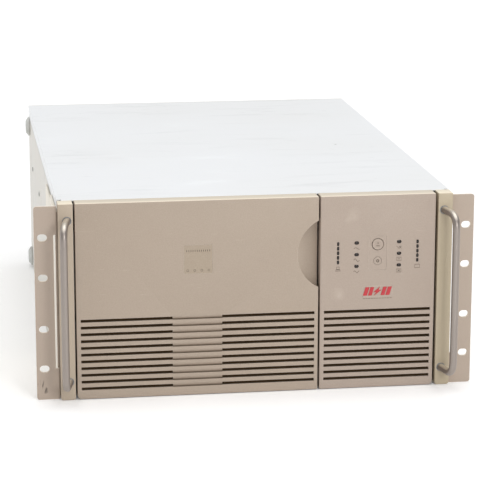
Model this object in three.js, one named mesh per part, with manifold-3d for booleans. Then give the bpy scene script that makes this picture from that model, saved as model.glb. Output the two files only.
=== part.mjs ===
// A 5U rack-mount power supply with batteries, as an assembly of separate solids.
// Millimetres, +Z up, front facing -Y. Built with the front faces of the rack ears at y = 0,
// then shifted along Y so that the origin is the middle of the underside of the whole box.
import * as THREE from 'three';
import { mergeVertices } from 'three/addons/utils/BufferGeometryUtils.js';
import Module from 'manifold-3d';

const wasm = await Module();
wasm.setup();

// ---------- driving dimensions ----------
const SHEET = 1.5; // sheet-metal thickness
const GAP = 0.3; // clearance between pieces that meet
const HALF_WIDTH = 215.8; // chassis, half of its outside width
const HEIGHT = 218.2; // chassis, underside to top
const CHASSIS = { front: 13, back: 631 };
const COVER_LIP = 15; // how far the top cover folds down the sides
// plane of the bezels and columns
const FACE = { front: -7, back: 12.6, wall: 3, bottom: 0.7, soft: 1.1 };
const COLUMN_INNER = 199.5;
const LEFT_BEZEL = [-197.8, 67.0];
const RIGHT_BEZEL = [68.8, 196.7];
const VENT = { rows: 11, pitch: 7.61, top: 88.3, height: 3.3, chamfer: 0.3, rise: 0.15 };
const LOUVRE = { depth: 2.5, drop: 0.35, reach: 3 }; // clapboard relief between the vents
const THROUGH_VENTS_LEFT = [[-193.3, -93.3], [-39, 62.9]];
const BLIND_LOUVRE = [-93.3, -39];
const THROUGH_VENT_RIGHT = [73.4, 192.4];
const FINGER_RECESS = { x: 84.9, z: 154.5, radius: 41.4, floorAtGap: 4 };
const EAR = { inner: 217, outer: 241.3, thick: 3, top: 214.8, cornerRadius: 3 };
const EAR_FLANGE = { inner: 216.2, thick: 1.9, back: 183, gussetReach: 91, gussetWidth: 6 };
const EAR_SLOT = { x: 232.55, length: 10.5, width: 7.8, heights: [34.6, 79.05, 136.2, 180.65] };
const HANDLE = { radius: 4, legX: 206, barX: 212, barY: -40, low: 20.5, high: 199.5, bend: 16 };
const BUTTON_PLATE = { x: 132.5, z: 153.5, width: 19.3, height: 38.5, play: 0.15 };
const TEST_BUTTON = { x: 132.5, z: 163.2, radius: 6.1, hole: 6.8 };
const OFF_BUTTON = { x: 132.5, z: 144.6, radius: 4.4, hole: 4.7 };
const LENS_TALL = { width: 2.7, height: 4.5, pitch: 5.15, count: 5, top: 164.9 };
const LENS_WIDE = { width: 5.2, height: 3.8, pitch: 13.1, count: 3, top: 165.4 };
const EMBLEM = { x: 132.8, z: 110.4, width: 33, height: 11 };
const LABEL = { x0: -80.7, x1: -49.8, z0: 137.3, z1: 168.9, play: 0.1 };
const BAY = { left: -190.5, right: 60, bottom: 10.5, top: 206 }; // battery opening in the frame
const RAIL_TOP = 11.2; // runners on the chassis floor that carry the battery tray
const DIVIDER_X = 69;
const PACK = { width: 122, height: 175, front: 30, length: 500 };
const FAN = { x: 150, heights: [57, 161], size: 92, depth: 25, bore: 43.5, rotor: 41.5, hub: 18 };
const FOOT = { radius: 12.6, flat: 8, height: 5, y: 605, heights: [15.5, 194.2] };

// ---------- materials ----------
const paint = (color, roughness, metalness = 0) =>
  new THREE.MeshStandardMaterial({ color, roughness, metalness });
const BEIGE_PLASTIC = paint(0xbcac9e, 0.55);
const BEIGE_PAINT = paint(0xb5a696, 0.5);
const WHITE_PAINT = paint(0xe6e6e4, 0.5);
const ZINC = paint(0xa9abab, 0.45, 0.9);
const DARK_PLASTIC = paint(0x2c241c, 0.4);
const BLACK_PLASTIC = paint(0x1b1b1c, 0.5);
const SILVER = paint(0xb9b2a6, 0.35, 0.9);
const GREY_RUBBER = paint(0xc9cac6, 0.8);
const RED = paint(0xb5232b, 0.4);
const BOARD = paint(0x2e5a38, 0.6);
const ALUMINIUM = paint(0xb0b3b5, 0.4, 0.9);
const COPPER_TAPE = paint(0xa8752f, 0.5);
const CORE_STEEL = paint(0x4b4b4e, 0.5, 0.8);
const BATTERY_CASE = paint(0x3b3d40, 0.6);
const CONNECTOR_GREY = paint(0x7d8084, 0.6);
const CAP_SLEEVE = paint(0x22304f, 0.4);

// ---------- shape helpers ----------
const box = (x0, x1, y0, y1, z0, z1) =>
  new THREE.BoxGeometry(x1 - x0, y1 - y0, z1 - z0)
    .translate((x0 + x1) / 2, (y0 + y1) / 2, (z0 + z1) / 2);

const outline = (points) => new THREE.Shape(points.map(([a, b]) => new THREE.Vector2(a, b)));

const extrude = (shape, depth, curveSegments = 5) =>
  new THREE.ExtrudeGeometry(shape, { depth, bevelEnabled: false, curveSegments });

// (x, z) outline run along Y, (y, z) outline run along X, (x, y) outline run along Z
const alongY = (shape, y0, y1, segments) =>
  extrude(shape, y1 - y0, segments).rotateX(Math.PI / 2).translate(0, y1, 0);
const alongX = (shape, x0, x1, segments) =>
  extrude(shape, x1 - x0, segments).rotateX(Math.PI / 2).rotateZ(Math.PI / 2).translate(x0, 0, 0);
const alongZ = (shape, z0, z1, segments) => extrude(shape, z1 - z0, segments).translate(0, 0, z0);

// the same with its front and back edges rounded over
function softAlongY(shape, y0, y1, segments, soft) {
  return new THREE.ExtrudeGeometry(shape, {
    depth: y1 - y0 - 2 * soft, curveSegments: segments, bevelThickness: soft, bevelSize: soft,
    bevelOffset: -soft, bevelSegments: 2,
  }).rotateX(Math.PI / 2).translate(0, y1 - soft, 0);
}

const discY = (x, z, radius, y0, y1, sides = 24) =>
  new THREE.CylinderGeometry(radius, radius, y1 - y0, sides).translate(x, (y0 + y1) / 2, z);

// rectangle with its own radius at each corner, anticlockwise from the low-left one
function roundedRect(x0, x1, z0, z1, radii) {
  const [a, b, c, d] = Array.isArray(radii) ? radii : [radii, radii, radii, radii];
  const shape = new THREE.Shape();
  shape.moveTo(x0 + a, z0).lineTo(x1 - b, z0);
  if (b) shape.absarc(x1 - b, z0 + b, b, -Math.PI / 2, 0, false);
  shape.lineTo(x1, z1 - c);
  if (c) shape.absarc(x1 - c, z1 - c, c, 0, Math.PI / 2, false);
  shape.lineTo(x0 + d, z1);
  if (d) shape.absarc(x0 + d, z1 - d, d, Math.PI / 2, Math.PI, false);
  shape.lineTo(x0, z0 + a);
  if (a) shape.absarc(x0 + a, z0 + a, a, Math.PI, Math.PI * 1.5, false);
  return shape;
}

const oval = (x, z, width, height) =>
  roundedRect(x - width / 2, x + width / 2, z - height / 2, z + height / 2,
    Math.min(width, height) / 2);

function toSolid(geometry) {
  const bare = geometry.clone();
  bare.deleteAttribute('normal');
  bare.deleteAttribute('uv');
  const merged = mergeVertices(bare, 1e-4);
  return new wasm.Manifold(new wasm.Mesh({
    numProp: 3,
    vertProperties: new Float32Array(merged.attributes.position.array),
    triVerts: new Uint32Array(merged.index.array),
  }));
}

function toGeometry(solid) {
  const mesh = solid.getMesh();
  const geometry = new THREE.BufferGeometry();
  geometry.setAttribute('position', new THREE.BufferAttribute(mesh.vertProperties, 3));
  geometry.setIndex(new THREE.BufferAttribute(mesh.triVerts, 1));
  return geometry;
}

const join = (...pieces) => toGeometry(pieces.map(toSolid).reduce((a, b) => a.add(b)));
const cut = (base, ...tools) =>
  toGeometry(tools.map(toSolid).reduce((a, b) => a.subtract(b), toSolid(base)));
const common = (a, b) => toGeometry(toSolid(a).intersect(toSolid(b)));

const model = new THREE.Group();
function add(name, geometry, material) {
  const mesh = new THREE.Mesh(geometry, material);
  mesh.name = name;
  model.add(mesh);
}

const SIDES = [['left', -1], ['right', 1]];
const span = (side, a, b) => (side < 0 ? [-b, -a] : [a, b]);

// ---------- chassis sheet metal ----------
function baseTray() {
  const shoulder = HEIGHT - COVER_LIP - GAP; // the walls step inwards here, under the cover's lip
  const inner = HALF_WIDTH - SHEET;
  const tuck = SHEET + GAP;
  const right = [
    [HALF_WIDTH, 0], [HALF_WIDTH, shoulder], [HALF_WIDTH - tuck, shoulder],
    [HALF_WIDTH - tuck, HEIGHT - tuck], [inner - tuck, HEIGHT - tuck],
    [inner - tuck, shoulder - SHEET], [inner, shoulder - SHEET], [inner, SHEET],
  ];
  const left = right.map(([x, z]) => [-x, z]).reverse();
  const shell = alongY(outline([...right, ...left]), CHASSIS.front, CHASSIS.back - SHEET - GAP);
  const rails = [-140, 10].map((x) => box(x - 9, x + 9, 18, 570, SHEET / 2, RAIL_TOP));
  const sideHoles = [[528, 148.5], [375, 151.5]].map(([y, z]) =>
    alongX(oval(y, z, 4.4, 4.4), -HALF_WIDTH - 1, -inner + 1, 4));
  return cut(join(shell, ...rails), ...sideHoles);
}

function topCover() {
  const inner = HALF_WIDTH - SHEET;
  const low = HEIGHT - COVER_LIP;
  const profile = outline([
    [-HALF_WIDTH, low], [-inner, low], [-inner, HEIGHT - SHEET], [inner, HEIGHT - SHEET],
    [inner, low], [HALF_WIDTH, low], [HALF_WIDTH, HEIGHT], [-HALF_WIDTH, HEIGHT],
  ]);
  const cornerReliefs = SIDES.map(([, side]) => {
    const [x0, x1] = span(side, HALF_WIDTH - 5, HALF_WIDTH + 1);
    return box(x0, x1, CHASSIS.front - 1, CHASSIS.front + 6, HEIGHT - 4, HEIGHT + 1);
  });
  return cut(alongY(profile, CHASSIS.front, CHASSIS.back - SHEET - GAP), ...cornerReliefs);
}

// rear layout, centres in x and z
const OUTLET_SMALL = { xs: [22, 66], zs: [185, 152, 119], width: 34, height: 27 };
const OUTLET_LARGE = { x: -26, zs: [180, 138], width: 42, height: 34 };
const SLOT_COVER = { x: -128, z: 176, width: 108, height: 44 };
const SERIAL = { x: -128, z: 122, width: 31, height: 12.6 };
const BATTERY_SOCKET = { x: -20, z: 70, width: 62, height: 34 };
const TERMINAL_COVER = { x: -128, z: 54, width: 120, height: 78 };
const BREAKER = { xs: [34, 66], z: 60, hole: 7.6, bush: 7, button: 4 };

function rearPanel() {
  const y0 = CHASSIS.back - SHEET;
  const window = (x, z, width, height) =>
    box(x - width / 2, x + width / 2, y0 - 1, CHASSIS.back + 1, z - height / 2, z + height / 2);
  const outlets = OUTLET_SMALL.xs.flatMap((x) =>
    OUTLET_SMALL.zs.map((z) => window(x, z, OUTLET_SMALL.width - 4, OUTLET_SMALL.height - 4)));
  const large = OUTLET_LARGE.zs.map((z) =>
    window(OUTLET_LARGE.x, z, OUTLET_LARGE.width - 4, OUTLET_LARGE.height - 4));
  const fans = FAN.heights.map((z) =>
    discY(FAN.x, z, FAN.bore, y0 - 1, CHASSIS.back + 1, 32));
  const breakers = BREAKER.xs.map((x) =>
    discY(x, BREAKER.z, BREAKER.hole, y0 - 1, CHASSIS.back + 1, 20));
  return cut(
    box(-HALF_WIDTH, HALF_WIDTH, y0, CHASSIS.back, 0, HEIGHT),
    ...outlets, ...large, ...fans, ...breakers,
    window(SLOT_COVER.x, SLOT_COVER.z, SLOT_COVER.width - 12, SLOT_COVER.height - 8),
    window(SERIAL.x, SERIAL.z, SERIAL.width - 10, SERIAL.height - 2),
    window(BATTERY_SOCKET.x, BATTERY_SOCKET.z, BATTERY_SOCKET.width - 4, 28),
    window(TERMINAL_COVER.x, TERMINAL_COVER.z, 100, 58),
  );
}

const CLIP = { height: 10, reach: 18.5, zs: [26, 190] };
const clipEdges = ([x0, x1]) => [[x0, x0 + FACE.wall], [x1 - FACE.wall, x1]];

function frontFrame() {
  const y0 = 14.5;
  const inside = HALF_WIDTH - SHEET - GAP;
  const top = HEIGHT - 2 * SHEET - 2 * GAP;
  const clipHoles = [LEFT_BEZEL, RIGHT_BEZEL].flatMap(clipEdges).flatMap(([x0, x1]) =>
    CLIP.zs.map((z) => box(x0 - 0.6, x1 + 0.6, y0 - 1, y0 + 3, z - 5.6, z + 5.6)));
  const plate = box(-inside + SHEET + GAP, inside - SHEET - GAP, y0, y0 + SHEET, SHEET + GAP, top);
  return cut(
    plate,
    box(BAY.left, BAY.right, y0 - 1, y0 + 3, BAY.bottom, BAY.top),
    box(76, 189, y0 - 1, y0 + 3, 9, 96),
    ...clipHoles,
  );
}

function bayDivider() {
  const top = HEIGHT - 2 * SHEET - 2 * GAP;
  const wall = box(DIVIDER_X, DIVIDER_X + SHEET, 20, 590, SHEET + GAP, top);
  const foot = box(DIVIDER_X + SHEET / 2, DIVIDER_X + 14, 20, 590, SHEET + GAP, 2 * SHEET + GAP);
  const airHoles = [0, 1, 2].map((i) =>
    box(DIVIDER_X - 1, DIVIDER_X + 3, 120 + i * 150, 200 + i * 150, 150, 190));
  return cut(join(wall, foot), ...airHoles);
}

add('base_tray', baseTray(), WHITE_PAINT);
add('top_cover', topCover(), WHITE_PAINT);
add('rear_panel', rearPanel(), WHITE_PAINT);
add('front_frame', frontFrame(), ZINC);
add('bay_divider', bayDivider(), ZINC);

// ---------- handles, columns and rack ears ----------
function handleRod(side, radius, tail, sides) {
  const lean = (HANDLE.barX - HANDLE.legX) / (FACE.front - HANDLE.barY);
  const at = (y, z) =>
    new THREE.Vector3(side * (HANDLE.legX + (FACE.front - y) * lean), y, z);
  const { barY, low, high, bend } = HANDLE;
  const path = new THREE.CurvePath();
  path.add(new THREE.LineCurve3(at(tail, high), at(barY + bend, high)));
  path.add(new THREE.QuadraticBezierCurve3(
    at(barY + bend, high), at(barY, high), at(barY, high - bend)));
  path.add(new THREE.LineCurve3(at(barY, high - bend), at(barY, low + bend)));
  path.add(new THREE.QuadraticBezierCurve3(
    at(barY, low + bend), at(barY, low), at(barY + bend, low)));
  path.add(new THREE.LineCurve3(at(barY + bend, low), at(tail, low)));
  const section = new THREE.Shape().absarc(0, 0, radius, 0, Math.PI * 2, false);
  return new THREE.ExtrudeGeometry(section, {
    steps: 34, bevelEnabled: false, extrudePath: path, curveSegments: sides,
  });
}

function handleColumn(side) {
  const [x0, x1] = span(side, COLUMN_INNER, HALF_WIDTH);
  const block = softAlongY(roundedRect(x0, x1, 0.2, HEIGHT, [3, 3, 1.2, 1.2]),
    FACE.front, FACE.back, 3, FACE.soft);
  return cut(block, handleRod(side, HANDLE.radius + GAP, 3 + GAP, 8));
}

function rackEar(side) {
  const [x0, x1] = span(side, EAR.inner, EAR.outer);
  const r = EAR.cornerRadius;
  const radii = side < 0 ? [r, 0, 0, r] : [0, r, r, 0];
  const plate = alongY(roundedRect(x0, x1, 0, EAR.top, radii), 0, EAR.thick, 3);
  const { inner, back, thick, gussetReach, gussetWidth } = EAR_FLANGE;
  const top = 208.5;
  const flange = outline([
    [1, 0], [back - 22, 0], [back, 22], [back, top - 7], [gussetReach + 13, top - 7],
    [gussetReach, top], [1, top],
  ]);
  const [f0, f1] = span(side, inner, inner + thick);
  const gussetRoot = side * (inner + thick / 2);
  const gusset = [
    [gussetRoot, 1], [side * (inner + gussetWidth), 1], [gussetRoot, gussetReach],
  ];
  const [n0, n1] = span(side, inner - 1, EAR.inner + 3.5);
  const slots = EAR_SLOT.heights.map((z) =>
    alongY(oval(side * EAR_SLOT.x, z, EAR_SLOT.length, EAR_SLOT.width), -1, EAR.thick + 1, 5));
  return cut(
    join(plate, alongX(flange, f0, f1),
      alongZ(outline(side < 0 ? gusset.reverse() : gusset), top - thick, top)),
    box(n0, n1, -1, EAR.thick + 0.6, 34.5, 183.5),
    ...slots,
  );
}

for (const [name, side] of SIDES) {
  add(`handle_column_${name}`, handleColumn(side), BEIGE_PAINT);
  add(`handle_${name}`, handleRod(side, HANDLE.radius, 3, 6), SILVER);
  add(`rack_ear_${name}`, rackEar(side), BEIGE_PAINT);
}

// ---------- bezels ----------
function bezelShell([x0, x1], radii) {
  const { front, back, wall, bottom } = FACE;
  const block = softAlongY(roundedRect(x0, x1, bottom, HEIGHT, radii), front, back, 3, FACE.soft);
  const pocket = box(x0 + wall, x1 - wall, front + wall, back + 1, bottom + wall, HEIGHT - wall);
  const clips = clipEdges([x0, x1]).flatMap(([a, b]) =>
    CLIP.zs.map((z) => box(a, b, back - 2, CLIP.reach, z - 5, z + 5)));
  return join(cut(block, pocket), ...clips);
}

const ventCentres = Array.from({ length: VENT.rows }, (_, i) => VENT.top - i * VENT.pitch);
// a slot with a chamfered mouth, whose floor rises towards the back like a louvre
function throughVent(x0, x1, z) {
  const { height, chamfer, rise } = VENT;
  const mouth = FACE.front - 1;
  const back = FACE.front + FACE.wall + 1;
  const low = z - height / 2;
  const high = z + height / 2;
  return alongX(outline([
    [mouth, low - chamfer - 1], [FACE.front + chamfer, low], [back, low + rise],
    [back, high], [FACE.front + chamfer, high], [mouth, high + chamfer + 1],
  ]), x0, x1);
}
const throughVents = ([x0, x1]) => ventCentres.map((z) => throughVent(x0, x1, z));
const blindLouvres = ([x0, x1]) => ventCentres.map((z) => alongX(outline([
  [FACE.front - 0.2, z - VENT.height / 2 - LOUVRE.drop],
  [FACE.front + LOUVRE.depth, z - VENT.height / 2 - LOUVRE.drop],
  [FACE.front - 0.2, z + LOUVRE.reach],
]), x0, x1));

function leftBezel() {
  const { x, z, radius, floorAtGap } = FINGER_RECESS;
  const [, right] = LEFT_BEZEL;
  const edge = x - radius;
  const disc = (r, y0, y1) => discY(x, z, r, y0, y1, 72);
  const backing = common(
    disc(radius + 2.5, FACE.front + 1, floorAtGap + 3),
    box(edge - 4, right, FACE.front, floorAtGap + 4, 0, HEIGHT),
  );
  const scoop = common(
    disc(radius, FACE.front - 2, floorAtGap + 2),
    alongZ(outline([
      [edge - 2, FACE.front - 1], [right + 1, FACE.front - 1], [right + 1, floorAtGap],
      [edge, FACE.front + 0.5], [edge - 2, FACE.front + 0.4],
    ]), 0, HEIGHT),
  );
  const labelSeat = box(LABEL.x0 - LABEL.play, LABEL.x1 + LABEL.play,
    FACE.front - 1, FACE.front + 0.7, LABEL.z0 - LABEL.play, LABEL.z1 + LABEL.play);
  return cut(
    join(bezelShell(LEFT_BEZEL, [4.5, 1.5, 1.5, 1.5]), backing),
    scoop, labelSeat, ...THROUGH_VENTS_LEFT.flatMap(throughVents), ...blindLouvres(BLIND_LOUVRE),
  );
}

// the four columns of indicator lenses
const LENS_COLUMNS = [
  { name: 'load_lens_strip', x: 88.4, lens: LENS_TALL },
  { name: 'status_lens_strip', x: 109.0, lens: LENS_WIDE },
  { name: 'warning_lens_strip', x: 156.3, lens: LENS_WIDE },
  { name: 'charge_lens_strip', x: 176.9, lens: LENS_TALL },
];
const lensHeights = ({ count, top, pitch }) =>
  Array.from({ length: count }, (_, i) => top - i * pitch);

function rightBezel() {
  const wallBack = FACE.front + FACE.wall + 1;
  const lensHoles = LENS_COLUMNS.flatMap(({ x, lens }) => lensHeights(lens).map((z) =>
    alongY(oval(x, z, lens.width, lens.height), FACE.front - 1, wallBack, 2)));
  const { x, z, play } = BUTTON_PLATE;
  const halfWidth = BUTTON_PLATE.width / 2 + play;
  const halfHeight = BUTTON_PLATE.height / 2 + play;
  const plateHole = alongY(roundedRect(x - halfWidth, x + halfWidth,
    z - halfHeight, z + halfHeight, 2.35), FACE.front - 1, wallBack, 3);
  const emblemSeat = box(EMBLEM.x - EMBLEM.width / 2 - GAP, EMBLEM.x + EMBLEM.width / 2 + GAP,
    FACE.front - 1, FACE.front + 0.9, EMBLEM.z - EMBLEM.height / 2 - GAP,
    EMBLEM.z + EMBLEM.height / 2 + GAP);
  return cut(
    bezelShell(RIGHT_BEZEL, [1.5, 4.5, 1.5, 1.5]),
    ...lensHoles, plateHole, emblemSeat, ...throughVents(THROUGH_VENT_RIGHT),
  );
}

add('left_bezel', leftBezel(), BEIGE_PLASTIC);
add('right_bezel', rightBezel(), BEIGE_PLASTIC);
add('label_plate', alongY(roundedRect(LABEL.x0, LABEL.x1, LABEL.z0, LABEL.z1, 0.6),
  FACE.front - 0.1, FACE.front + 0.4, 3), BEIGE_PAINT);
add('front_emblem', alongY(roundedRect(EMBLEM.x - EMBLEM.width / 2, EMBLEM.x + EMBLEM.width / 2,
  EMBLEM.z - EMBLEM.height / 2, EMBLEM.z + EMBLEM.height / 2, 2),
FACE.front - 0.5, FACE.front + 0.6, 4), RED);

// ---------- control panel ----------
function lensStrip({ x, lens }) {
  const heights = lensHeights(lens);
  const back = FACE.front + FACE.wall + GAP;
  const play = 0.4;
  const bar = box(x - lens.width / 2 - 1, x + lens.width / 2 + 1, back, back + 2,
    heights.at(-1) - lens.height / 2 - 1.5, heights[0] + lens.height / 2 + 1.5);
  const prongs = heights.map((z) => alongY(
    oval(x, z, lens.width - play, lens.height - play), FACE.front + 0.3, back + 1, 2));
  return join(bar, ...prongs);
}

function buttonPlate() {
  const { x, z, width, height } = BUTTON_PLATE;
  const rim = 1.8;
  const back = FACE.front + FACE.wall + GAP;
  const face = alongY(roundedRect(x - width / 2, x + width / 2, z - height / 2, z + height / 2, 2.2),
    FACE.front + 0.2, back + 0.5, 3);
  const flange = box(x - width / 2 - rim, x + width / 2 + rim, back, back + SHEET,
    z - height / 2 - rim, z + height / 2 + rim);
  const holes = [TEST_BUTTON, OFF_BUTTON].map((b) =>
    discY(b.x, b.z, b.hole, FACE.front - 1, back + 3, 32));
  return cut(join(face, flange), ...holes);
}

// a cap that shows, a collar that keeps it in, and a stem that works the switch
const SWITCH_FACE = 3.5;
const BUTTON_TRAVEL = 1.5;
function button({ x, z, radius, hole }, proud) {
  const plateBack = FACE.front + FACE.wall + GAP + SHEET;
  return join(
    discY(x, z, radius, FACE.front - proud, plateBack + GAP + 0.4, 32),
    discY(x, z, hole + 0.9, plateBack + GAP, plateBack + GAP + 1.2, 32),
    discY(x, z, 2, plateBack + 1, SWITCH_FACE - BUTTON_TRAVEL - GAP, 16),
  );
}

function displayBoard() {
  const y0 = 7;
  const switchBox = (b) => box(b.x - 3, b.x + 3, SWITCH_FACE, y0 + 0.5, b.z - 3, b.z + 3);
  const lamps = LENS_COLUMNS.map(({ x, lens }) => {
    const heights = lensHeights(lens);
    return box(x - 2, x + 2, 3, y0 + 0.5, heights.at(-1) - 2, heights[0] + 2);
  });
  return join(
    box(80, 186, y0, y0 + 1.6, 128, 180),
    switchBox(TEST_BUTTON), switchBox(OFF_BUTTON), ...lamps,
    box(120, 145, y0 + 1, y0 + 5.2, 130, 136),
  );
}

for (const column of LENS_COLUMNS) add(column.name, lensStrip(column), DARK_PLASTIC);
add('button_plate', buttonPlate(), BEIGE_PAINT);
add('test_button', button(TEST_BUTTON, 0.8), BEIGE_PLASTIC);
add('off_button', button(OFF_BUTTON, 0.4), BEIGE_PLASTIC);
add('display_board', displayBoard(), BOARD);

// ---------- battery bay ----------
const TRAY = {
  left: BAY.left + 1, right: BAY.right - 1, floor: RAIL_TOP + GAP, front: 20, wall: 45,
};
const packLefts = [TRAY.left + SHEET + GAP, TRAY.right - SHEET - GAP - PACK.width];

function batteryTray() {
  const { left, right, floor, front, wall } = TRAY;
  const back = PACK.front + PACK.length + GAP + SHEET;
  const block = box(left, right, front, back, floor, floor + wall);
  const hollow = box(left + SHEET, right - SHEET, front + SHEET, back - SHEET,
    floor + SHEET, floor + wall + 1);
  const pullLip = box(-110, -20, front - 3.5, front + 1, floor + wall - SHEET, floor + wall);
  return join(cut(block, hollow), pullLip);
}

function batteryPack(x0) {
  const { width, height, front, length } = PACK;
  const z0 = TRAY.floor + SHEET + GAP;
  const blocks = 4;
  const grooves = Array.from({ length: blocks - 1 }, (_, i) => {
    const y = front + ((i + 1) * length) / blocks;
    return box(x0 - 1, x0 + width + 1, y - 1, y + 1, z0 + height - 5, z0 + height + 1);
  });
  return cut(
    alongY(roundedRect(x0, x0 + width, z0, z0 + height, 3), front, front + length, 2), ...grooves);
}

function packConnector(x) {
  const shell = box(x - 24, x + 24, 6, PACK.front - GAP, 146, 168);
  const contacts = [-12, 12].map((dx) => box(x + dx - 7, x + dx + 7, 5, 9, 150, 164));
  return cut(shell, ...contacts);
}

add('battery_tray', batteryTray(), ZINC);
packLefts.forEach((x0, i) => {
  const name = SIDES[i][0];
  add(`battery_pack_${name}`, batteryPack(x0), BATTERY_CASE);
  add(`battery_connector_${name}`, packConnector(x0 + PACK.width / 2), CONNECTOR_GREY);
});
add('pack_retainer', alongX(outline([
  [PACK.front - 6, 100], [PACK.front - GAP, 100], [PACK.front - GAP, 130], [PACK.front - 6, 130],
  [PACK.front - 6, 128.5], [PACK.front - GAP - SHEET, 128.5], [PACK.front - GAP - SHEET, 101.5],
  [PACK.front - 6, 101.5],
]), TRAY.left, TRAY.right), ZINC);

// ---------- power electronics ----------
const CORE = { x0: 84, x1: 204, y0: 370, y1: 450, z0: 6, z1: 126, limb: 20 };

function transformerCore() {
  const { x0, x1, y0, y1, z0, z1, limb } = CORE;
  const window = (a) => box(a, a + limb, y0 - 1, y1 + 1, z0 + limb, z1 - limb);
  return cut(box(x0, x1, y0, y1, z0, z1), window(x0 + limb), window(x1 - 2 * limb));
}

function transformerWinding() {
  const { x0, x1, y0, y1, z0, z1, limb } = CORE;
  const play = 0.4;
  const bulge = 24;
  const a = x0 + limb + play;
  const b = x1 - limb - play;
  const ring = alongZ(roundedRect(a, b, y0 - bulge, y1 + bulge, 14), z0 + limb + play,
    z1 - limb - play, 4);
  return cut(ring, box(x0 + 2 * limb - play, x1 - 2 * limb + play, y0 - play, y1 + play, 0, 200));
}

function heatsink(x0) {
  const fins = Array.from({ length: 6 }, (_, i) => {
    const x = x0 + i * 9;
    return box(x, x + 3, 90, 230, 22, 92);
  });
  return join(box(x0, x0 + 48, 90, 230, 16, 23), ...fins);
}

function capacitor(y) {
  const profile = [[0, 14], [24, 14], [25, 15], [25, 96], [23.5, 97], [23.5, 99], [25, 100],
    [25, 106], [24, 107], [0, 107]].map(([r, z]) => new THREE.Vector2(r, z));
  return new THREE.LatheGeometry(profile, 20).rotateX(Math.PI / 2).translate(143, y, 0);
}

add('transformer_core', transformerCore(), CORE_STEEL);
add('transformer_winding', transformerWinding(), COPPER_TAPE);
add('inverter_board', box(84, 206, 60, 330, 12, 13.6), BOARD);
add('control_board', box(73, 74.6, 60, 320, 30, 140), BOARD);
add('heatsink_left', heatsink(86), ALUMINIUM);
add('heatsink_right', heatsink(146), ALUMINIUM);
[['front', 262], ['rear', 314]].forEach(([name, y]) =>
  add(`capacitor_${name}`, capacitor(y), CAP_SLEEVE));

// ---------- fans ----------
const FAN_Y = { back: CHASSIS.back - SHEET - GAP };
FAN_Y.front = FAN_Y.back - FAN.depth;

function fanFrame(z) {
  const half = FAN.size / 2;
  const shell = cut(
    alongY(roundedRect(FAN.x - half, FAN.x + half, z - half, z + half, 5), FAN_Y.front, FAN_Y.back, 3),
    discY(FAN.x, z, FAN.bore, FAN_Y.front - 1, FAN_Y.back + 1, 32),
  );
  const struts = [0, 1, 2].map((i) =>
    box(-1.5, 1.5, FAN_Y.front, FAN_Y.front + 3, 8, FAN.bore + 1)
      .rotateY((i * Math.PI * 2) / 3).translate(FAN.x, 0, z));
  return join(shell, ...struts, discY(FAN.x, z, FAN.hub, FAN_Y.front, FAN_Y.front + 3, 24));
}

function fanRotor(z) {
  const y0 = FAN_Y.front + 4;
  const y1 = FAN_Y.back - 1.5;
  const blades = Array.from({ length: 7 }, (_, i) => {
    const length = FAN.rotor - FAN.hub + 3;
    return new THREE.BoxGeometry(2, y1 - y0 - 3, length)
      .rotateZ(0.55).translate(0, (y0 + y1) / 2, FAN.hub - 3 + length / 2)
      .rotateY((i * Math.PI * 2) / 7).translate(FAN.x, 0, z);
  });
  return join(discY(FAN.x, z, FAN.hub, y0, y1, 24), ...blades);
}

function fanGuard(z) {
  const y0 = CHASSIS.back + GAP;
  const ring = (radius) => cut(
    discY(FAN.x, z, radius + 1, y0, y0 + 2, 20), discY(FAN.x, z, radius - 1, y0 - 1, y0 + 3, 20));
  const spokes = [0, 1].map((i) =>
    box(-1.2, 1.2, y0, y0 + 2, -48, 48).rotateY(Math.PI / 4 + (i * Math.PI) / 2)
      .translate(FAN.x, 0, z));
  return join(...[14, 23, 32, 41].map(ring), ...spokes);
}

[['lower', FAN.heights[0]], ['upper', FAN.heights[1]]].forEach(([name, z]) => {
  add(`fan_frame_${name}`, fanFrame(z), BLACK_PLASTIC);
  add(`fan_rotor_${name}`, fanRotor(z), BLACK_PLASTIC);
  add(`fan_guard_${name}`, fanGuard(z), ZINC);
});

// ---------- rear connections ----------
const REAR = CHASSIS.back;

// a socket: flange outside, body through the panel, a moat round a core with three slots
function outlet(x, z, { width, height }, slotAcross) {
  const flange = alongY(roundedRect(x - width / 2, x + width / 2, z - height / 2, z + height / 2, 3),
    REAR + GAP, REAR + 3, 2);
  const body = box(x - width / 2 + 2.5, x + width / 2 - 2.5, REAR - 26, REAR + 1,
    z - height / 2 + 2.5, z + height / 2 - 2.5);
  const moatOuter = roundedRect(x - width / 2 + 4, x + width / 2 - 4,
    z - height / 2 + 4, z + height / 2 - 4, 2);
  const core = roundedRect(x - width / 2 + 6.4, x + width / 2 - 6.4,
    z - height / 2 + 6.4, z + height / 2 - 6.4, 1.5);
  moatOuter.holes.push(core);
  const slot = (dx, dz) => (slotAcross
    ? box(x + dx - 3, x + dx + 3, REAR - 14, REAR + 4, z + dz - 1, z + dz + 1)
    : box(x + dx - 1, x + dx + 1, REAR - 14, REAR + 4, z + dz - 2.4, z + dz + 2.4));
  return cut(join(flange, body), alongY(moatOuter, REAR - 14, REAR + 4, 1),
    slot(-width / 5.6, -1.6), slot(width / 5.6, -1.6), slot(0, 2.6));
}

OUTLET_SMALL.xs.forEach((x, i) => OUTLET_SMALL.zs.forEach((z, j) =>
  add(`outlet_${'ab'[i]}${j + 1}`, outlet(x, z, OUTLET_SMALL, false), BLACK_PLASTIC)));
OUTLET_LARGE.zs.forEach((z, i) =>
  add(`outlet_large_${i + 1}`, outlet(OUTLET_LARGE.x, z, OUTLET_LARGE, true), BLACK_PLASTIC));

function slotCover() {
  const { x, z, width, height } = SLOT_COVER;
  return alongY(roundedRect(x - width / 2, x + width / 2, z - height / 2, z + height / 2, 1.5),
    REAR + GAP, REAR + GAP + SHEET, 3);
}

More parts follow.
